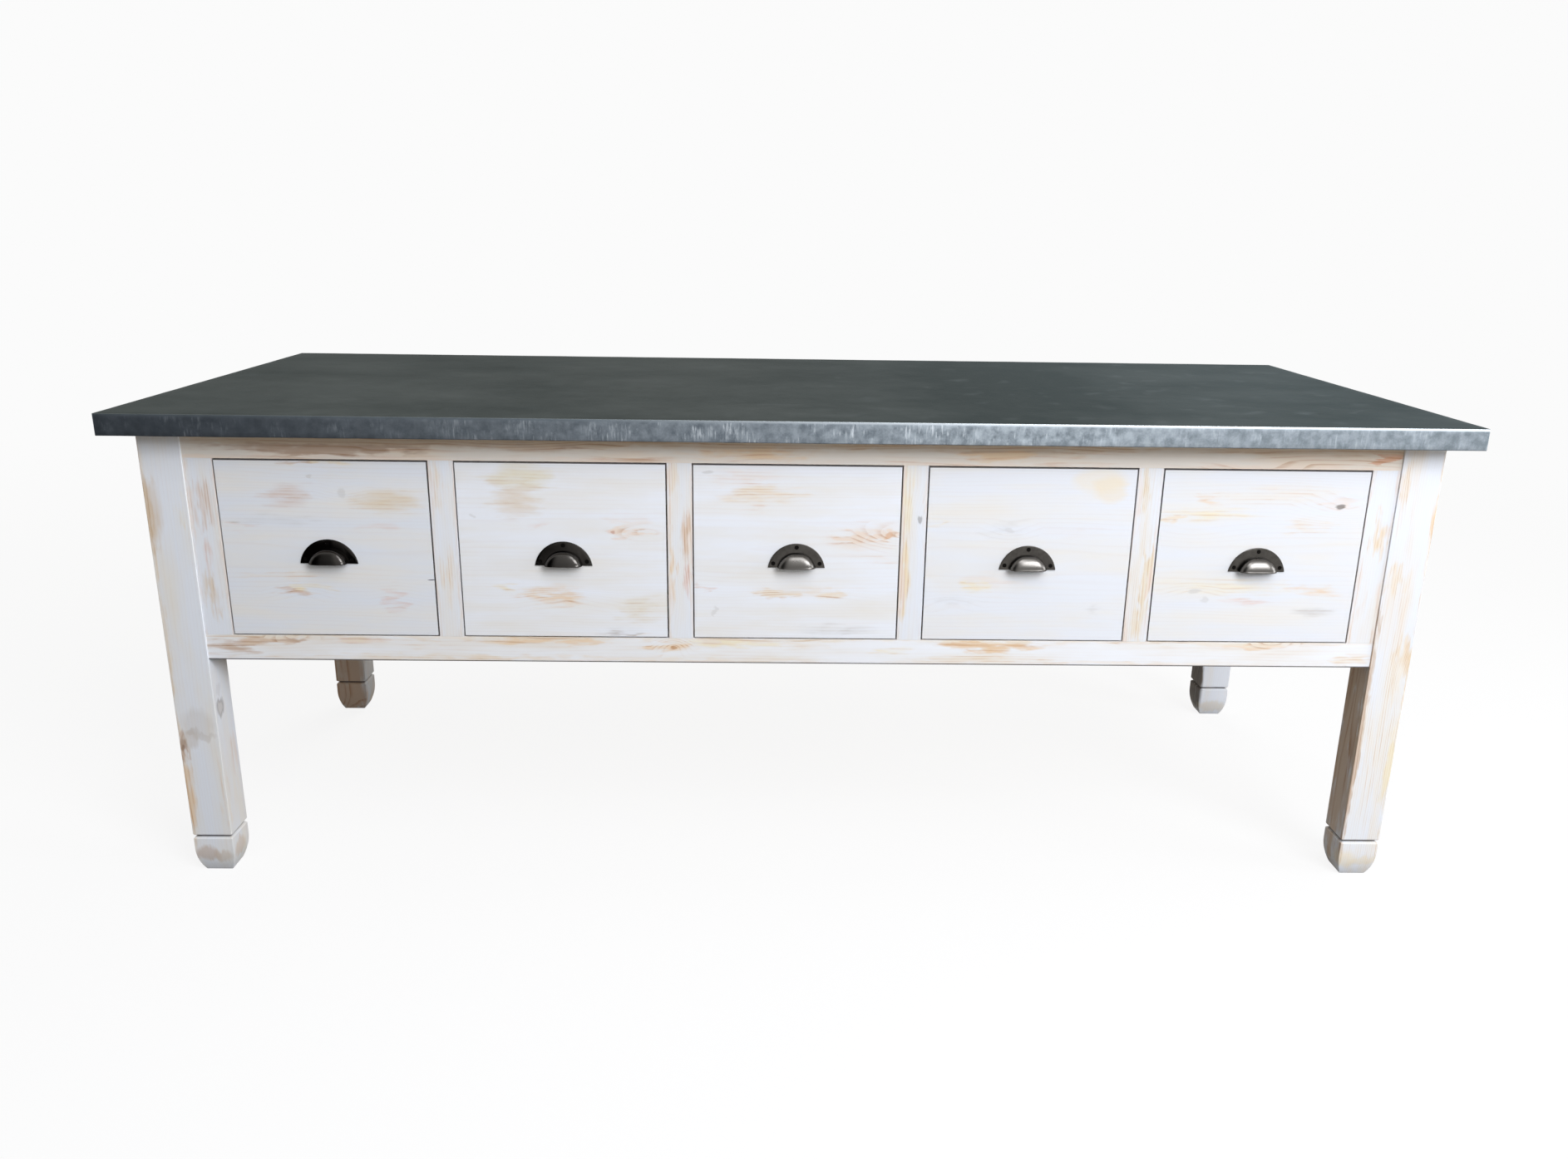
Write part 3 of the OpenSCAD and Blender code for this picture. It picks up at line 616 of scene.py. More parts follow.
# ------ runners
# Runners, guides, kickers and stops of planed pine carry the drawers inside the frame. They
# are bare wood, and are stub-tenoned and glued to the rails.
def planed_pine(name, grain, pith, ring):
    """Bare planed pine: pale early wood and narrow brown late wood under a dull sheen."""
    material, tree, shader, place = new_material(name)
    late = pine_figure(tree, place, grain, pith, ring)
    fibre = pine_fibre(tree, place, grain)
    lines = add(tree, "Math", {0: late, 1: 0.75}, operation="MULTIPLY")
    colour = add(tree, "Mix", {"Factor": lines, "A": "#e2c79b", "B": "#c08f58"}, data_type="RGBA")
    streaks = add(
        tree, "MapRange", {"Value": fibre, "From Min": 0.35, "From Max": 0.7, "To Max": 0.3}
    )
    colour = add(tree, "Mix", {"Factor": streaks, "A": colour, "B": "#b98d5c"}, data_type="RGBA")
    sheen = add(tree, "MapRange", {"Value": fibre, "To Min": 0.5, "To Max": 0.66})
    bump = add(tree, "Bump", {"Height": fibre, "Strength": 0.2, "Distance": 0.2 * MM})
    feed(tree, shader, {"Base Color": colour, "Roughness": sheen, "Normal": bump})
    return material


runner_pine = planed_pine("planed_pine_runners", "Y", (40, 0, 520), 5.0)
for name in ("drawer_runners", "drawer_guides", "drawer_kickers", "drawer_stops"):
    soften(nodes[name], arris=0.6 * MM, clamp=False)
    paint(nodes[name], runner_pine)

# ------ drawer fronts
# Each front is a solid pine board 22 mm thick, limed outside like the frame and bare inside.
# Its joints take the sides' dovetails, and it sits flush in its opening with a 2 mm gap.
def select_by(piece, kind, test):
    """In edit mode, selects the vertices, edges or faces of piece whose middle passes test."""
    bpy.ops.mesh.select_mode(type=kind)
    bpy.ops.mesh.select_all(action="DESELECT")
    bpy.ops.object.mode_set(mode="OBJECT")
    mesh = piece.data
    if kind == "VERT":
        for vertex in mesh.vertices:
            vertex.select = test(vertex.co)
    elif kind == "EDGE":
        for edge in mesh.edges:
            a, b = (mesh.vertices[i].co for i in edge.vertices)
            edge.select = test(a, b)
    else:
        for face in mesh.polygons:
            face.select = test(face.center, face.normal)
    bpy.ops.object.mode_set(mode="EDIT")


def merged_copy(node, name):
    """A copy of a CAD node as one clean, flat-shaded mesh, which becomes the active object."""
    bpy.ops.object.select_all(action="DESELECT")
    piece = nodes[node].copy()
    piece.data = nodes[node].data.copy()
    piece.parent = None
    piece.name = name
    bpy.context.scene.collection.objects.link(piece)
    piece.select_set(True)
    bpy.context.view_layer.objects.active = piece
    bpy.ops.mesh.customdata_custom_splitnormals_clear()
    bpy.ops.object.mode_set(mode="EDIT")
    bpy.ops.mesh.select_all(action="SELECT")
    bpy.ops.mesh.remove_doubles(threshold=0.01 * MM)
    bpy.ops.mesh.dissolve_limited(angle_limit=math.radians(0.5))
    bpy.ops.mesh.normals_make_consistent(inside=False)
    bpy.ops.object.mode_set(mode="OBJECT")
    bpy.ops.object.shade_flat()
    return piece


drawer_pitch = 423  # mm
drawer_x = {n: (n - 3) * drawer_pitch for n in range(1, 6)}
front_worn = {
    1: [
        (-735, 742, 78, 30, 0.65, "#e2cfb2"), (-908, 748, 56, 32, 0.6, "#ddcbc0"),
        (-915, 572, 44, 15, 1.0, "#d6b79d"), (-880, 582, 44, 14, 0.5, STRAW),
        (-930, 602, 110, 10, 0.45, HONEY), (-728, 560, 30, 34, 0.5, ROSE),
        (-860, 812, 70, 6, 0.8, BROWN), (-985, 696, 26, 12, 0.45, ROSE),
        (-750, 697, 60, 14, 0.4, ROSE), (-920, 705, 90, 16, 0.3, GREY),
        (-830, 790, 60, 40, 0.25, STRAW),
    ],
    2: [
        (-495, 790, 75, 36, 0.6, "#e6dab8"), (-508, 744, 55, 44, 0.6, "#dfcfb8"),
        (-478, 697, 30, 12, 0.4, ROSE), (-440, 568, 70, 26, 0.85, ORANGE),
        (-528, 581, 30, 12, 0.6, STRAW), (-316, 689, 38, 14, 1.1, ROSE),
        (-300, 705, 50, 34, 0.35, PEACH), (-285, 542, 46, 36, 0.7, "#e6ddcb"),
        (-305, 494, 70, 6, 0.6, HONEY), (-320, 502, 50, 14, 0.2, GREY),
    ],
    3: [
        (-85, 790, 90, 30, 0.45, PEACH), (-65, 762, 95, 20, 0.9, HONEY),
        (-86, 735, 30, 12, 0.4, PEACH), (112, 684, 34, 16, 0.95, ROSE),
        (165, 687, 22, 15, 0.85, ORANGE), (125, 684, 90, 40, 0.55, PEACH),
        (-30, 574, 36, 10, 1.0, ROSE), (72, 575, 32, 10, 0.7, ROSE),
        (30, 578, 150, 16, 0.45, HONEY), (78, 506, 110, 14, 0.4, GREY),
        (-176, 586, 12, 16, 0.5, ROSE), (150, 640, 60, 12, 0.35, PEACH),
    ],
    4: [
        (385, 700, 50, 24, 0.3, GREY),
        (355, 603, 70, 22, 0.4, PEACH), (330, 590, 26, 14, 0.55, STRAW),
        (300, 564, 44, 10, 0.3, GREY), (560, 551, 24, 12, 0.3, GREY),
        (252, 710, 20, 16, 0.35, STRAW), (500, 700, 90, 20, 0.25, PEACH),
    ],
    5: [
        (750, 758, 40, 16, 0.6, ORANGE), (750, 732, 110, 16, 0.65, STRAW),
        (672, 722, 20, 12, 0.8, HONEY), (900, 772, 130, 40, 0.4, HONEY),
        (925, 714, 60, 20, 0.6, HONEY), (985, 752, 50, 24, 0.5, PEACH),
        (800, 596, 200, 24, 0.5, STRAW), (960, 588, 56, 16, 0.55, ORANGE),
        (825, 568, 60, 8, 0.5, ROSE), (962, 550, 56, 14, 0.4, GREY),
    ],
}
front_knots = {
    1: [(-905, 570, 70, 22, 2.5), (-728, 560, 50, 40, 1.2), (-811, 757, 50, 24, 2.0)],
    2: [(-420, 560, 110, 30, 3.0), (-270, 690, 75, 20, 3.0)],
    3: [(190, 686, 95, 34, 4.5), (20, 572, 150, 16, 2.0)],
    4: [(390, 700, 60, 26, 2.0), (290, 560, 60, 20, 2.0)],
    5: [(1000, 745, 110, 36, 4.0), (735, 587, 60, 18, 2.0), (720, 700, 120, 30, 2.0)],
}
front_eyes = {
    1: [
        (-735, 742, 62, 22, 0.3, "#e0cfb4"), (-908, 748, 45, 26, 0.28, "#dccbc3"),
        (-866, 785, 7, 5, 0.35, GREY), (-811, 756, 8, 11, 0.3, GREY),
        (-665, 596, 8, 1.4, 0.9, "#4a4650"),
    ],
    2: [
        (-492, 788, 62, 28, 0.35, "#e4dabd"), (-505, 744, 42, 32, 0.35, "#e2d2c0"),
        (-330, 688, 6, 4, 0.6, "#c08670"), (-582, 716, 5, 5, 0.3, GREY),
    ],
    3: [
        (-162, 800, 14, 4, 0.4, GREY), (166, 687, 8, 8, 0.5, "#d59a63"),
        (-149, 541, 5, 12, 0.3, GREY),
    ],
    4: [
        (387, 699, 9, 6, 0.25, GREY), (545, 792, 60, 28, 0.4, "#f1e2c4"),
        (565, 776, 38, 30, 0.4, "#efdcb8"),
    ],
    5: [
        (984, 749, 11, 6, 0.8, "#77716c"), (736, 587, 13, 6, 0.4, GREY),
        (760, 571, 8, 8, 0.3, GREY),
    ],
}
front_pith = {
    1: (300, -400, 640), 2: (1300, -415, 690), 3: (2300, -405, 668), 4: (3300, -380, 640),
    5: (4300, -410, 655),
}
# The drawers' whites differ as painted light: whitest on drawers 2 and 3, in the middle.
front_white_and_light = {1: "#e4e7ed", 2: "#eef0f5", 3: "#eef0f5", 4: "#e8eaef", 5: "#e6e8ed"}
gap_shade_depth = front_y + 4  # painted shade reaches this far back in the gap round a drawer
for n in drawer_x:
    low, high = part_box(f"drawer_{n}_front")
    # Dark lines along the gaps round the front are painted shade.
    gap_shade_lines = [
        ("Z", high.z / MM + 0.2, 2.0, gap_shade_depth), ("Z", low.z / MM - 0.2, 0.9, gap_shade_depth),
        ("X", low.x / MM - 0.2, 0.9, gap_shade_depth), ("X", high.x / MM + 0.2, 0.9, gap_shade_depth),
    ]
    limed = limed_pine(
        f"limed_pine_drawer_{n}", "X", front_pith[n], 5.5, on_face(front_worn[n], 12),
        on_face(front_knots[n], 30), on_face(front_eyes[n], 8),
        general=0.1, bare=("Y", -0.4424, 1), shade_lines=gap_shade_lines, white=front_white_and_light[n],
    )

    def on_front_outline(a, b):
        """True for the four long arrises of the board's face."""
        if max(a.y, b.y) > low.y + 0.1 * MM:
            return False
        upright = abs(a.x - b.x) < 0.1 * MM and min(abs(a.x - low.x), abs(a.x - high.x)) < 0.1 * MM
        level = abs(a.z - b.z) < 0.1 * MM and min(abs(a.z - low.z), abs(a.z - high.z)) < 0.1 * MM
        return upright or level

    board = merged_copy(f"drawer_{n}_front", f"drawer_board_{n}")
    bpy.ops.object.mode_set(mode="EDIT")
    select_by(board, "EDGE", on_front_outline)
    bpy.ops.mesh.bevel(offset=0.8 * MM, segments=2, affect="EDGES")
    bpy.ops.object.mode_set(mode="OBJECT")
    board.data.materials.clear()
    board.data.materials.append(limed)
    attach(board, f"drawer_{n}")
    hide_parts(f"drawer_{n}_front")

# ------ drawer boxes
# Sides and back of thin planed pine, dovetailed to the front and housed at the back. The cleat
# behind the back stops the drawer. The bottom is birch plywood in grooves.
birch_ply, tree, shader, place = new_material("birch_ply")
cloud = add(tree, "TexNoise", {"Vector": place, "Scale": 9.0, "Detail": 3.0})
fibre = pine_fibre(tree, place, "Y", 40, 1.0)
veneer = add(tree, "Mix", {"Factor": cloud, "A": "#ddc49c", "B": "#cfae80"}, data_type="RGBA")
flecks = add(
    tree, "MapRange", {"Value": fibre, "From Min": 0.55, "From Max": 0.75, "To Max": 0.35}
)
veneer = add(tree, "Mix", {"Factor": flecks, "A": veneer, "B": "#b08c60"}, data_type="RGBA")
bump = add(tree, "Bump", {"Height": fibre, "Strength": 0.15, "Distance": 0.1 * MM})
feed(tree, shader, {"Base Color": veneer, "Roughness": 0.5, "Normal": bump})

side_pine = planed_pine("planed_pine_drawer_sides", "Y", (150, 0, 700), 4.5)
back_pine = planed_pine("planed_pine_drawer_backs", "X", (0, 170, 640), 4.5)
for n in drawer_x:
    for part, material in (("sides", side_pine), ("back", back_pine), ("cleat", back_pine)):
        soften(nodes[f"drawer_{n}_{part}"], arris=0.6 * MM, clamp=False)
        paint(nodes[f"drawer_{n}_{part}"], material)
    soften(nodes[f"drawer_{n}_bottom"], arris=0.3 * MM)
    paint(nodes[f"drawer_{n}_bottom"], birch_ply)

# ------ worktop
# A core board under a sheet of zinc, 1 mm thick, which is dressed down over the board's edges
# by hand and turned in below. The zinc is blackened, waxed and slightly uneven.
core_board, tree, shader, place = new_material("spruce_core_board")
fibre = pine_fibre(tree, place, "X", 50, 1.5)
cloud = add(tree, "TexNoise", {"Vector": place, "Scale": 7.0, "Detail": 4.0})
board = add(tree, "Mix", {"Factor": cloud, "A": "#d8bc90", "B": "#c3a175"}, data_type="RGBA")
flecks = add(tree, "MapRange", {"Value": fibre, "From Min": 0.5, "From Max": 0.75, "To Max": 0.5})
board = add(tree, "Mix", {"Factor": flecks, "A": board, "B": "#a98357"}, data_type="RGBA")
bump = add(tree, "Bump", {"Height": fibre, "Strength": 0.2, "Distance": 0.2 * MM})
feed(tree, shader, {"Base Color": board, "Roughness": 0.7, "Normal": bump})
paint(nodes["worktop_core"], core_board)

# The screws are steel with a black oxide skin, worn a little paler on their high spots.
steel, tree, shader, place = new_material("blackened_steel")
wear = add(tree, "TexNoise", {"Vector": place, "Scale": 900.0, "Detail": 2.0})
oxide = add(tree, "Mix", {"Factor": wear, "A": "#0d0c0c", "B": "#211f1d"}, data_type="RGBA")
rough = add(tree, "MapRange", {"Value": wear, "To Min": 0.35, "To Max": 0.6})
feed(tree, shader, {"Base Color": oxide, "Metallic": 1.0, "Roughness": rough})
paint(nodes["worktop_screws"], steel)
for n in drawer_x:
    paint(nodes[f"drawer_{n}_screws"], steel)

zinc_low, zinc_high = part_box("worktop_zinc")
top_w = zinc_high.x - zinc_low.x
top_d = zinc_high.y - zinc_low.y
top_z = zinc_high.z
lip = 15 * MM

across_cuts, deep_cuts = 120, 50  # so that the hand-dressed dents show
bpy.ops.mesh.primitive_grid_add(
    x_subdivisions=across_cuts, y_subdivisions=deep_cuts, size=1, location=(0, 0, top_z)
)
sheet = bpy.context.object
sheet.name = "zinc_sheet"
sheet.scale = (top_w, top_d, 1)
bpy.ops.object.transform_apply(location=True, rotation=True, scale=True)
bpy.ops.object.mode_set(mode="EDIT")


def along_one_side(a, b):
    """True for an edge that lies on one side of the worktop's outline."""
    at_end = abs(a.x - b.x) < 0.1 * MM and abs(abs(a.x) - top_w / 2) < 0.1 * MM
    at_front = abs(a.y - b.y) < 0.1 * MM and abs(abs(a.y) - top_d / 2) < 0.1 * MM
    return at_end or at_front


def at_corner(co):
    """True for a vertex at one of the worktop's corners."""
    return abs(abs(co.x) - top_w / 2) < 0.1 * MM and abs(abs(co.y) - top_d / 2) < 0.1 * MM


# The edge is folded down, then the lip is turned in under it.
select_by(sheet, "EDGE", along_one_side)
bpy.ops.mesh.extrude_edges_move(TRANSFORM_OT_translate={"value": (0, 0, zinc_low.z - top_z)})
bpy.ops.mesh.extrude_edges_move(TRANSFORM_OT_translate={"value": (0, 0, 0)})
bpy.ops.transform.resize(
    value=((top_w - 2 * lip) / top_w, (top_d - 2 * lip) / top_d, 1),
    center_override=(0, 0, zinc_low.z),
)
# Its upright part gets rows of vertices. Its corners and folds are rounded.
select_by(sheet, "EDGE", lambda a, b: abs(a.z - b.z) > 20 * MM)
bpy.ops.mesh.subdivide(number_cuts=3)
select_by(sheet, "EDGE", lambda a, b: at_corner(a) and at_corner(b))
bpy.ops.mesh.bevel(offset=2.0 * MM, segments=3, affect="EDGES")
bpy.ops.mesh.select_all(action="DESELECT")
bpy.ops.mesh.edges_select_sharp(sharpness=math.radians(60))
bpy.ops.mesh.bevel(offset=1.5 * MM, segments=3, affect="EDGES")
bpy.ops.mesh.select_all(action="SELECT")
bpy.ops.mesh.remove_doubles(threshold=0.001 * MM)
bpy.ops.mesh.normals_make_consistent(inside=False)
bpy.ops.object.mode_set(mode="OBJECT")
dents = bpy.data.textures.new("hand_dressing", "CLOUDS")
dents.noise_scale = 0.045
dress = sheet.modifiers.new("dressing", "DISPLACE")
dress.texture = dents
dress.texture_coords = "LOCAL"
dress.strength = 0.5 * MM
dress.mid_level = 1.0
bpy.ops.object.modifier_apply(modifier="dressing")
wall = sheet.modifiers.new("thickness", "SOLIDIFY")
wall.thickness = 0.9 * MM
wall.offset = -1
bpy.ops.object.modifier_apply(modifier="thickness")
bpy.ops.object.shade_smooth_by_angle(angle=math.radians(40))

zinc, tree, shader, place = new_material("blackened_zinc")
split = add(tree, "SeparateXYZ", {0: place}).outputs
across, height = split[0], split[2]

# The top is clouded, with one darker place right of the middle.
cloud = grain_noise(tree, place, (1.1, 0.8, 1.0), Scale=2.4, Detail=5.0, Roughness=0.6)
cloud = add(tree, "MapRange", {"Value": cloud, "From Min": 0.3, "From Max": 0.7})
darker = soft_spot(tree, place, (420, -50, 900), (260, 750, 500))
cloud = add(tree, "Math", {0: darker, 1: -1.3, 2: cloud}, operation="MULTIPLY_ADD")
blotch = add(tree, "TexNoise", {"Vector": place, "Scale": 26.0, "Detail": 4.0, "Roughness": 0.6})
top_colour = add(tree, "Mix", {"Factor": cloud, "A": "#616564", "B": "#6d7170"}, data_type="RGBA")

# The edge is mottled, and has pale upright marks where it is rubbed most, about the middle.
marks = grain_noise(tree, place, (4.0 * MM, 0.1, 30.0 * MM), Detail=3.0, Roughness=0.6)
where = add(tree, "MapRange", {"Value": blotch, "From Min": 0.48, "From Max": 0.6})
marks = add(tree, "MapRange", {"Value": marks, "From Min": 0.5, "From Max": 0.7})
marks = add(tree, "Math", {0: marks, 1: where}, operation="MULTIPLY")
middle = add(tree, "Math", {0: across, 1: 0.1}, operation="SUBTRACT")
middle = add(tree, "Math", {0: middle}, operation="ABSOLUTE")
lively = add(tree, "MapRange", {"Value": middle, "From Min": 0.8, "From Max": 0.2}, **SMOOTH)
bold = add(tree, "MapRange", {"Value": lively, "To Min": 0.35})
marks = add(tree, "Math", {0: marks, 1: bold}, operation="MULTIPLY")
patina = add(tree, "TexNoise", {"Vector": place, "Scale": 60.0, "Detail": 4.0, "Roughness": 0.65})
mottled = add(tree, "MapRange", {"Value": patina, "From Min": 0.35, "From Max": 0.65})
edge = add(tree, "Mix", {"Factor": mottled, "A": "#757e84", "B": "#979fa6"}, data_type="RGBA")
rubbed = add(tree, "Mix", {"Factor": mottled, "A": "#727b82", "B": "#a5aeb5"}, data_type="RGBA")
edge = add(tree, "Mix", {"Factor": lively, "A": edge, "B": rubbed}, data_type="RGBA")

# To the left it is darker: partly blackened more, partly painted shade.
left_blackening_and_shade = add(
    tree, "MapRange", {"Value": across, "From Min": 0.45, "From Max": -0.2, "To Max": 0.4},
    **SMOOTH,
)
far_left_blackening_and_shade = add(tree, "MapRange", {"Value": across, "From Min": -0.6, "From Max": -1.0, "To Max": 0.3})
left_blackening_and_shade = add(tree, "Math", {0: left_blackening_and_shade, 1: far_left_blackening_and_shade}, operation="ADD")
for mask, tone in ((left_blackening_and_shade, "#565e68"), (marks, "#c9d0d6")):
    edge = add(tree, "Mix", {"Factor": mask, "A": edge, "B": tone}, data_type="RGBA")

# Its upper arris is polished by hands, and lighter to the right as a painted highlight. The fold
# below is darkened as painted shade.
polish_and_highlight = add(tree, "MapRange", {"Value": across, "From Min": -0.4, "From Max": 0.6})
arris = add(tree, "Mix", {"Factor": polish_and_highlight, "A": "#707980", "B": "#cfd5d9"}, data_type="RGBA")
below_arris = add(
    tree, "MapRange",
    {"Value": height, "From Min": top_z - 2.5 * MM, "From Max": top_z - 6.0 * MM},
    **SMOOTH,
)
edge = add(tree, "Mix", {"Factor": below_arris, "A": arris, "B": edge}, data_type="RGBA")
fold_top, fold_low = zinc_low.z + 2.2 * MM, zinc_low.z + 0.8 * MM
fold_shade = add(
    tree, "MapRange", {"Value": height, "From Min": fold_top, "From Max": fold_low, "To Max": 0.6}
)
edge = add(tree, "Mix", {"Factor": fold_shade, "A": edge, "B": "#31373c"}, data_type="RGBA")
on_edge = add(
    tree, "MapRange", {"Value": height, "From Min": top_z - 0.3 * MM, "From Max": top_z - 1.5 * MM}
)
colour = add(tree, "Mix", {"Factor": on_edge, "A": top_colour, "B": edge}, data_type="RGBA")

# Wax tints what it reflects at a low angle, and makes the sheen uneven.
waxed = add(tree, "MapRange", {"Value": across, "From Min": -0.3, "From Max": 1.2}, **SMOOTH)
grazing = add(tree, "Mix", {"Factor": cloud, "A": "#7e8180", "B": "#8c8f8d"}, data_type="RGBA")
bluish = add(tree, "Mix", {"Factor": cloud, "A": "#8a979c", "B": "#9ca8ad"}, data_type="RGBA")
grazing = add(tree, "Mix", {"Factor": waxed, "A": grazing, "B": bluish}, data_type="RGBA")
rough = add(tree, "MapRange", {"Value": blotch, "To Min": 0.38, "To Max": 0.58})
bump = add(tree, "Bump", {"Height": blotch, "Strength": 0.2, "Distance": 1.0 * MM})
feed(tree, shader, {
    "Base Color": colour, "Metallic": 1.0, "Specular Tint": grazing, "Roughness": rough,
    "Normal": bump,
})
sheet.data.materials.append(zinc)
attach(sheet, "carcass")
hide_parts("worktop_zinc")

# ------ cup pulls
# Half-moon cup pulls of cast metal with a blackened pewter finish. A flat plate carries a hollow
# cup, open below. Three countersunk screws hold each on its drawer front.
face_y = front_y * MM
pull_axis_z = 0.6183  # middle of the plate's round outline
plate_r = 52.5 * MM
plate_low = 0.626  # its flat lower edge
plate_t = 2.5 * MM
cup_r = 35.9 * MM  # round outline of the cup where it meets the plate
cup_root = 1.2 * MM  # the cup starts this far out, within the plate
cup_out = 21.5 * MM  # how far the lip stands out
lip_z = 0.6272
cup_wall = 2.0 * MM

bpy.ops.mesh.primitive_circle_add(
    vertices=128, radius=plate_r, fill_type="NGON", location=(0, face_y, pull_axis_z),
    rotation=(math.pi / 2, 0, 0),
)
pull = bpy.context.object
pull.name = "cup_pull_3"
bpy.ops.object.transform_apply(location=True, rotation=True, scale=True)
bpy.ops.object.mode_set(mode="EDIT")
bpy.ops.mesh.select_all(action="SELECT")
bpy.ops.mesh.bisect(plane_co=(0, face_y, plate_low), plane_no=(0, 0, 1), clear_inner=True)
bpy.ops.mesh.select_all(action="SELECT")
bpy.ops.mesh.extrude_region_move(TRANSFORM_OT_translate={"value": (0, -plate_t, 0)})
bpy.ops.mesh.select_all(action="SELECT")
bpy.ops.mesh.normals_make_consistent(inside=False)
select_by(pull, "EDGE", lambda a, b: max(a.y, b.y) < face_y - plate_t + 0.01 * MM)
bpy.ops.mesh.bevel(offset=0.8 * MM, segments=3, affect="EDGES")
bpy.ops.object.mode_set(mode="OBJECT")


def cup_half_width(z):
    """Half the cup's width at a height."""
    return math.sqrt(max(cup_r**2 - (z - pull_axis_z) ** 2, 0))


# The cup is drawn up from its lip. The lip's outline is flat in front with round corners, and
# it shrinks towards the top of the cup.
lip_half = cup_half_width(lip_z)
outline_steps = 40
outline = []
for i in range(outline_steps + 1):
    turn = math.pi * i / outline_steps
    across = -math.copysign(abs(math.cos(turn)) ** 0.5, math.cos(turn))
    outline.append((lip_half * across, (cup_out - cup_root) * math.sin(turn) ** 0.5))
seed = 2 * MM  # side of the small square from whose corner the outline is drawn
bpy.ops.mesh.primitive_plane_add(
    size=seed, location=(-lip_half - seed / 2, face_y - cup_root + seed / 2, lip_z)
)
cup = bpy.context.object
cup.name = "cup"
bpy.ops.object.transform_apply(location=True, rotation=True, scale=True)
bpy.ops.object.mode_set(mode="EDIT")
root_y = face_y - cup_root
select_by(cup, "VERT", lambda co: co.x < -lip_half - 0.1 * MM or co.y > root_y + 0.1 * MM)
bpy.ops.mesh.delete(type="VERT")
bpy.ops.mesh.select_all(action="SELECT")
for (x0, out0), (x1, out1) in zip(outline, outline[1:]):
    bpy.ops.mesh.extrude_vertices_move(TRANSFORM_OT_translate={"value": (x1 - x0, out0 - out1, 0)})
bpy.ops.mesh.select_all(action="SELECT")

# Rows of the cup, as height, width and depth. The first few shape a small bead on the lip.
rise = pull_axis_z + cup_r - lip_z
last_row = 18
rows = [(lip_z, 0.985, 0.97), (lip_z + 0.7 * MM, 1.0, 1.0), (lip_z + 1.6 * MM, 1.0, 1.0)]
for i in range(1, last_row + 1):
    up = rise * math.sin(math.pi / 2 * i / last_row) if i > 1 else 2.6 * MM
    z = lip_z + up
    wide = cup_half_width(z) / lip_half if i < last_row else 0.001
    deep = (1 - min(up / rise, 1) ** 2.1) ** 0.5 if i < last_row else 0.001
    rows.append((z, wide, 0.975 * deep))
bpy.ops.transform.resize(value=(*rows[0][1:], 1), center_override=(0, root_y, lip_z))
for (z0, wide0, deep0), (z1, wide1, deep1) in zip(rows, rows[1:]):
    bpy.ops.mesh.extrude_edges_move(TRANSFORM_OT_translate={"value": (0, 0, z1 - z0)})
    bpy.ops.transform.resize(
        value=(wide1 / wide0, deep1 / deep0, 1), center_override=(0, root_y, z1)
    )
bpy.ops.mesh.select_all(action="SELECT")
bpy.ops.mesh.remove_doubles(threshold=0.06 * MM)
bpy.ops.mesh.normals_make_consistent(inside=False)
bpy.ops.object.mode_set(mode="OBJECT")
shell = cup.modifiers.new("wall", "SOLIDIFY")
shell.thickness = cup_wall
shell.offset = -1
bpy.ops.object.modifier_apply(modifier="wall")

bpy.context.view_layer.objects.active = pull
join = pull.modifiers.new("join", "BOOLEAN")
join.object = cup
join.operation = "UNION"
join.solver = "EXACT"
join.use_self = True
bpy.ops.object.modifier_apply(modifier="join")
bpy.data.objects.remove(cup)

screw_places = ((-42.3, 634), (42.3, 634), (0, 664))  # x and z, in mm
for x, z in screw_places:
    bpy.ops.mesh.primitive_cone_add(
        vertices=32, radius1=1.9 * MM, radius2=4.2 * MM, depth=3 * MM,
        location=(x * MM, face_y - 1.3 * MM, z * MM), rotation=(math.pi / 2, 0, 0),
    )
    sink = bpy.context.object
    bpy.context.view_layer.objects.active = pull
    cut = pull.modifiers.new("countersink", "BOOLEAN")
    cut.object = sink
    cut.operation = "DIFFERENCE"
    cut.solver = "EXACT"
    bpy.ops.object.modifier_apply(modifier="countersink")
    bpy.data.objects.remove(sink)
pull.select_set(True)
bpy.ops.object.shade_smooth_by_angle(angle=math.radians(35))

pewter, tree, shader, place = new_material("antique_pewter")
split = add(tree, "SeparateXYZ", {0: place}).outputs
across, out, height = split[0], split[1], split[2]
cloud = add(tree, "TexNoise", {"Vector": place, "Scale": 130.0, "Detail": 4.0})
colour = add(tree, "Mix", {"Factor": cloud, "A": "#3c3936", "B": "#5a5753"}, data_type="RGBA")

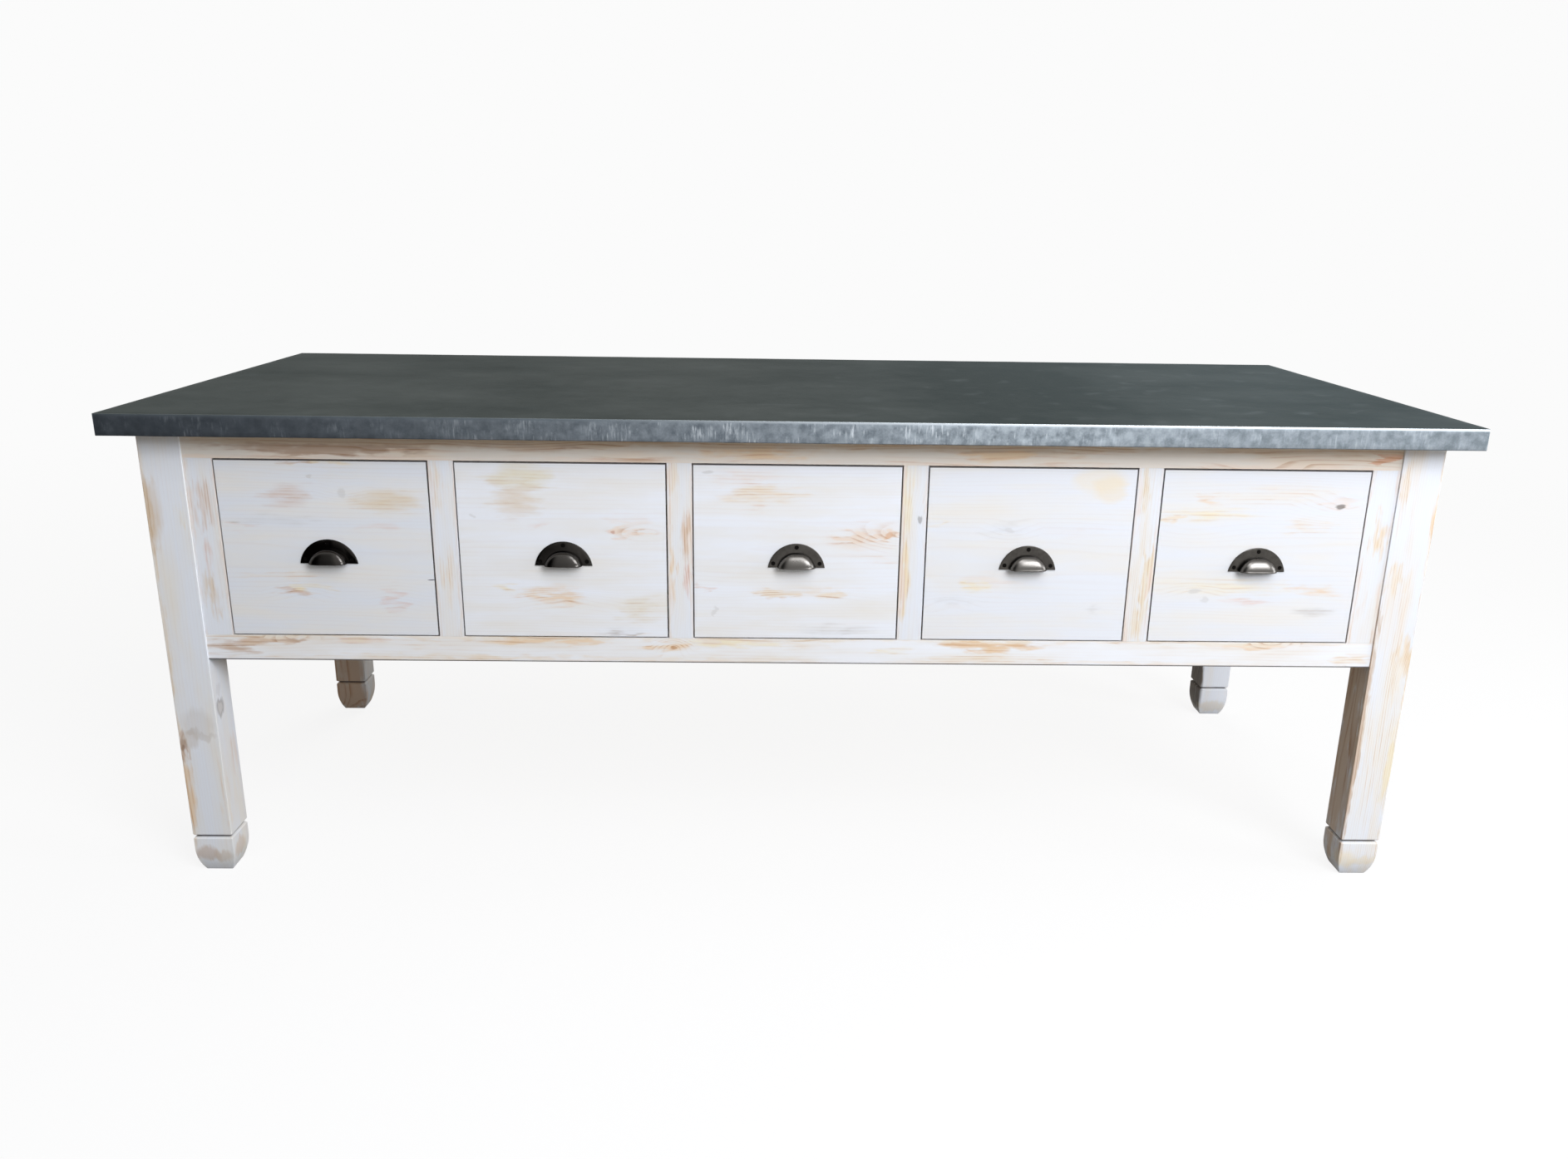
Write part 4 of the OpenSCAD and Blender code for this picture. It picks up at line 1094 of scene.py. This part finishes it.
# The cup stands proud of the plate and is darker where it rises from it, a painted dark reflection.
# Its front is lighter, partly rubbed by hands and partly a painted highlight, least on the left
# pulls.
plate_face, cup_start = face_y - 2.6 * MM, face_y - 3.5 * MM
proud = add(tree, "MapRange", {"Value": out, "From Min": plate_face, "From Max": cup_start})
colour = add(tree, "Mix", {"Factor": proud, "A": colour, "B": "#2a2826"}, data_type="RGBA")
rub_start, rub_full = face_y - 4.5 * MM, face_y - 13.0 * MM
rubbed = add(
    tree, "MapRange", {"Value": out, "From Min": rub_start, "From Max": rub_full}, **SMOOTH
)
wear_and_light_rightwards = add(
    tree, "MapRange", {"Value": across, "From Min": -0.5, "From Max": -0.05, "To Min": 0.45}
)
rubbed = add(tree, "Math", {0: rubbed, 1: wear_and_light_rightwards}, operation="MULTIPLY")
# Higher up the cup the front is lighter still: a painted highlight where it turns up to the lamps.
lip_top, crown = lip_z + 0.8 * MM, lip_z + 16.8 * MM
high = add(
    tree, "MapRange", {"Value": height, "From Min": lip_top, "From Max": crown, "To Min": 0.55}
)
rubbed = add(tree, "Math", {0: rubbed, 1: high}, operation="MULTIPLY")
colour = add(tree, "Mix", {"Factor": rubbed, "A": colour, "B": "#716e6a"}, data_type="RGBA")

# The two left pulls are darker, as painted shade, and shine more.
shaded_left_pulls = add(
    tree, "MapRange", {"Value": across, "From Min": -0.1, "From Max": -0.5, "To Max": 0.7}
)
less_on_cup = add(tree, "Math", {0: proud, 1: -0.4, 2: 1.0}, operation="MULTIPLY_ADD")
left_pull_shade = add(tree, "Math", {0: shaded_left_pulls, 1: less_on_cup}, operation="MULTIPLY")
colour = add(tree, "Mix", {"Factor": left_pull_shade, "A": colour, "B": "#242120"}, data_type="RGBA")
rough = add(tree, "MapRange", {"Value": cloud, "To Min": 0.24, "To Max": 0.34})
glossier = add(tree, "Math", {0: shaded_left_pulls, 1: -0.5, 2: 1.0}, operation="MULTIPLY_ADD")
rough = add(tree, "Math", {0: rough, 1: glossier}, operation="MULTIPLY")
bump = add(tree, "Bump", {"Height": cloud, "Strength": 0.08, "Distance": 0.5 * MM})
feed(tree, shader, {"Base Color": colour, "Metallic": 1.0, "Roughness": rough, "Normal": bump})
pull.data.materials.append(pewter)

for n, x in drawer_x.items():
    piece = pull
    if n != 3:
        piece = pull.copy()
        piece.data = pull.data.copy()
        piece.data.transform(Matrix.Translation((x * MM, 0, 0)))
        piece.name = f"cup_pull_{n}"
        bpy.context.scene.collection.objects.link(piece)
    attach(piece, f"drawer_{n}")
    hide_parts(f"drawer_{n}_pull")
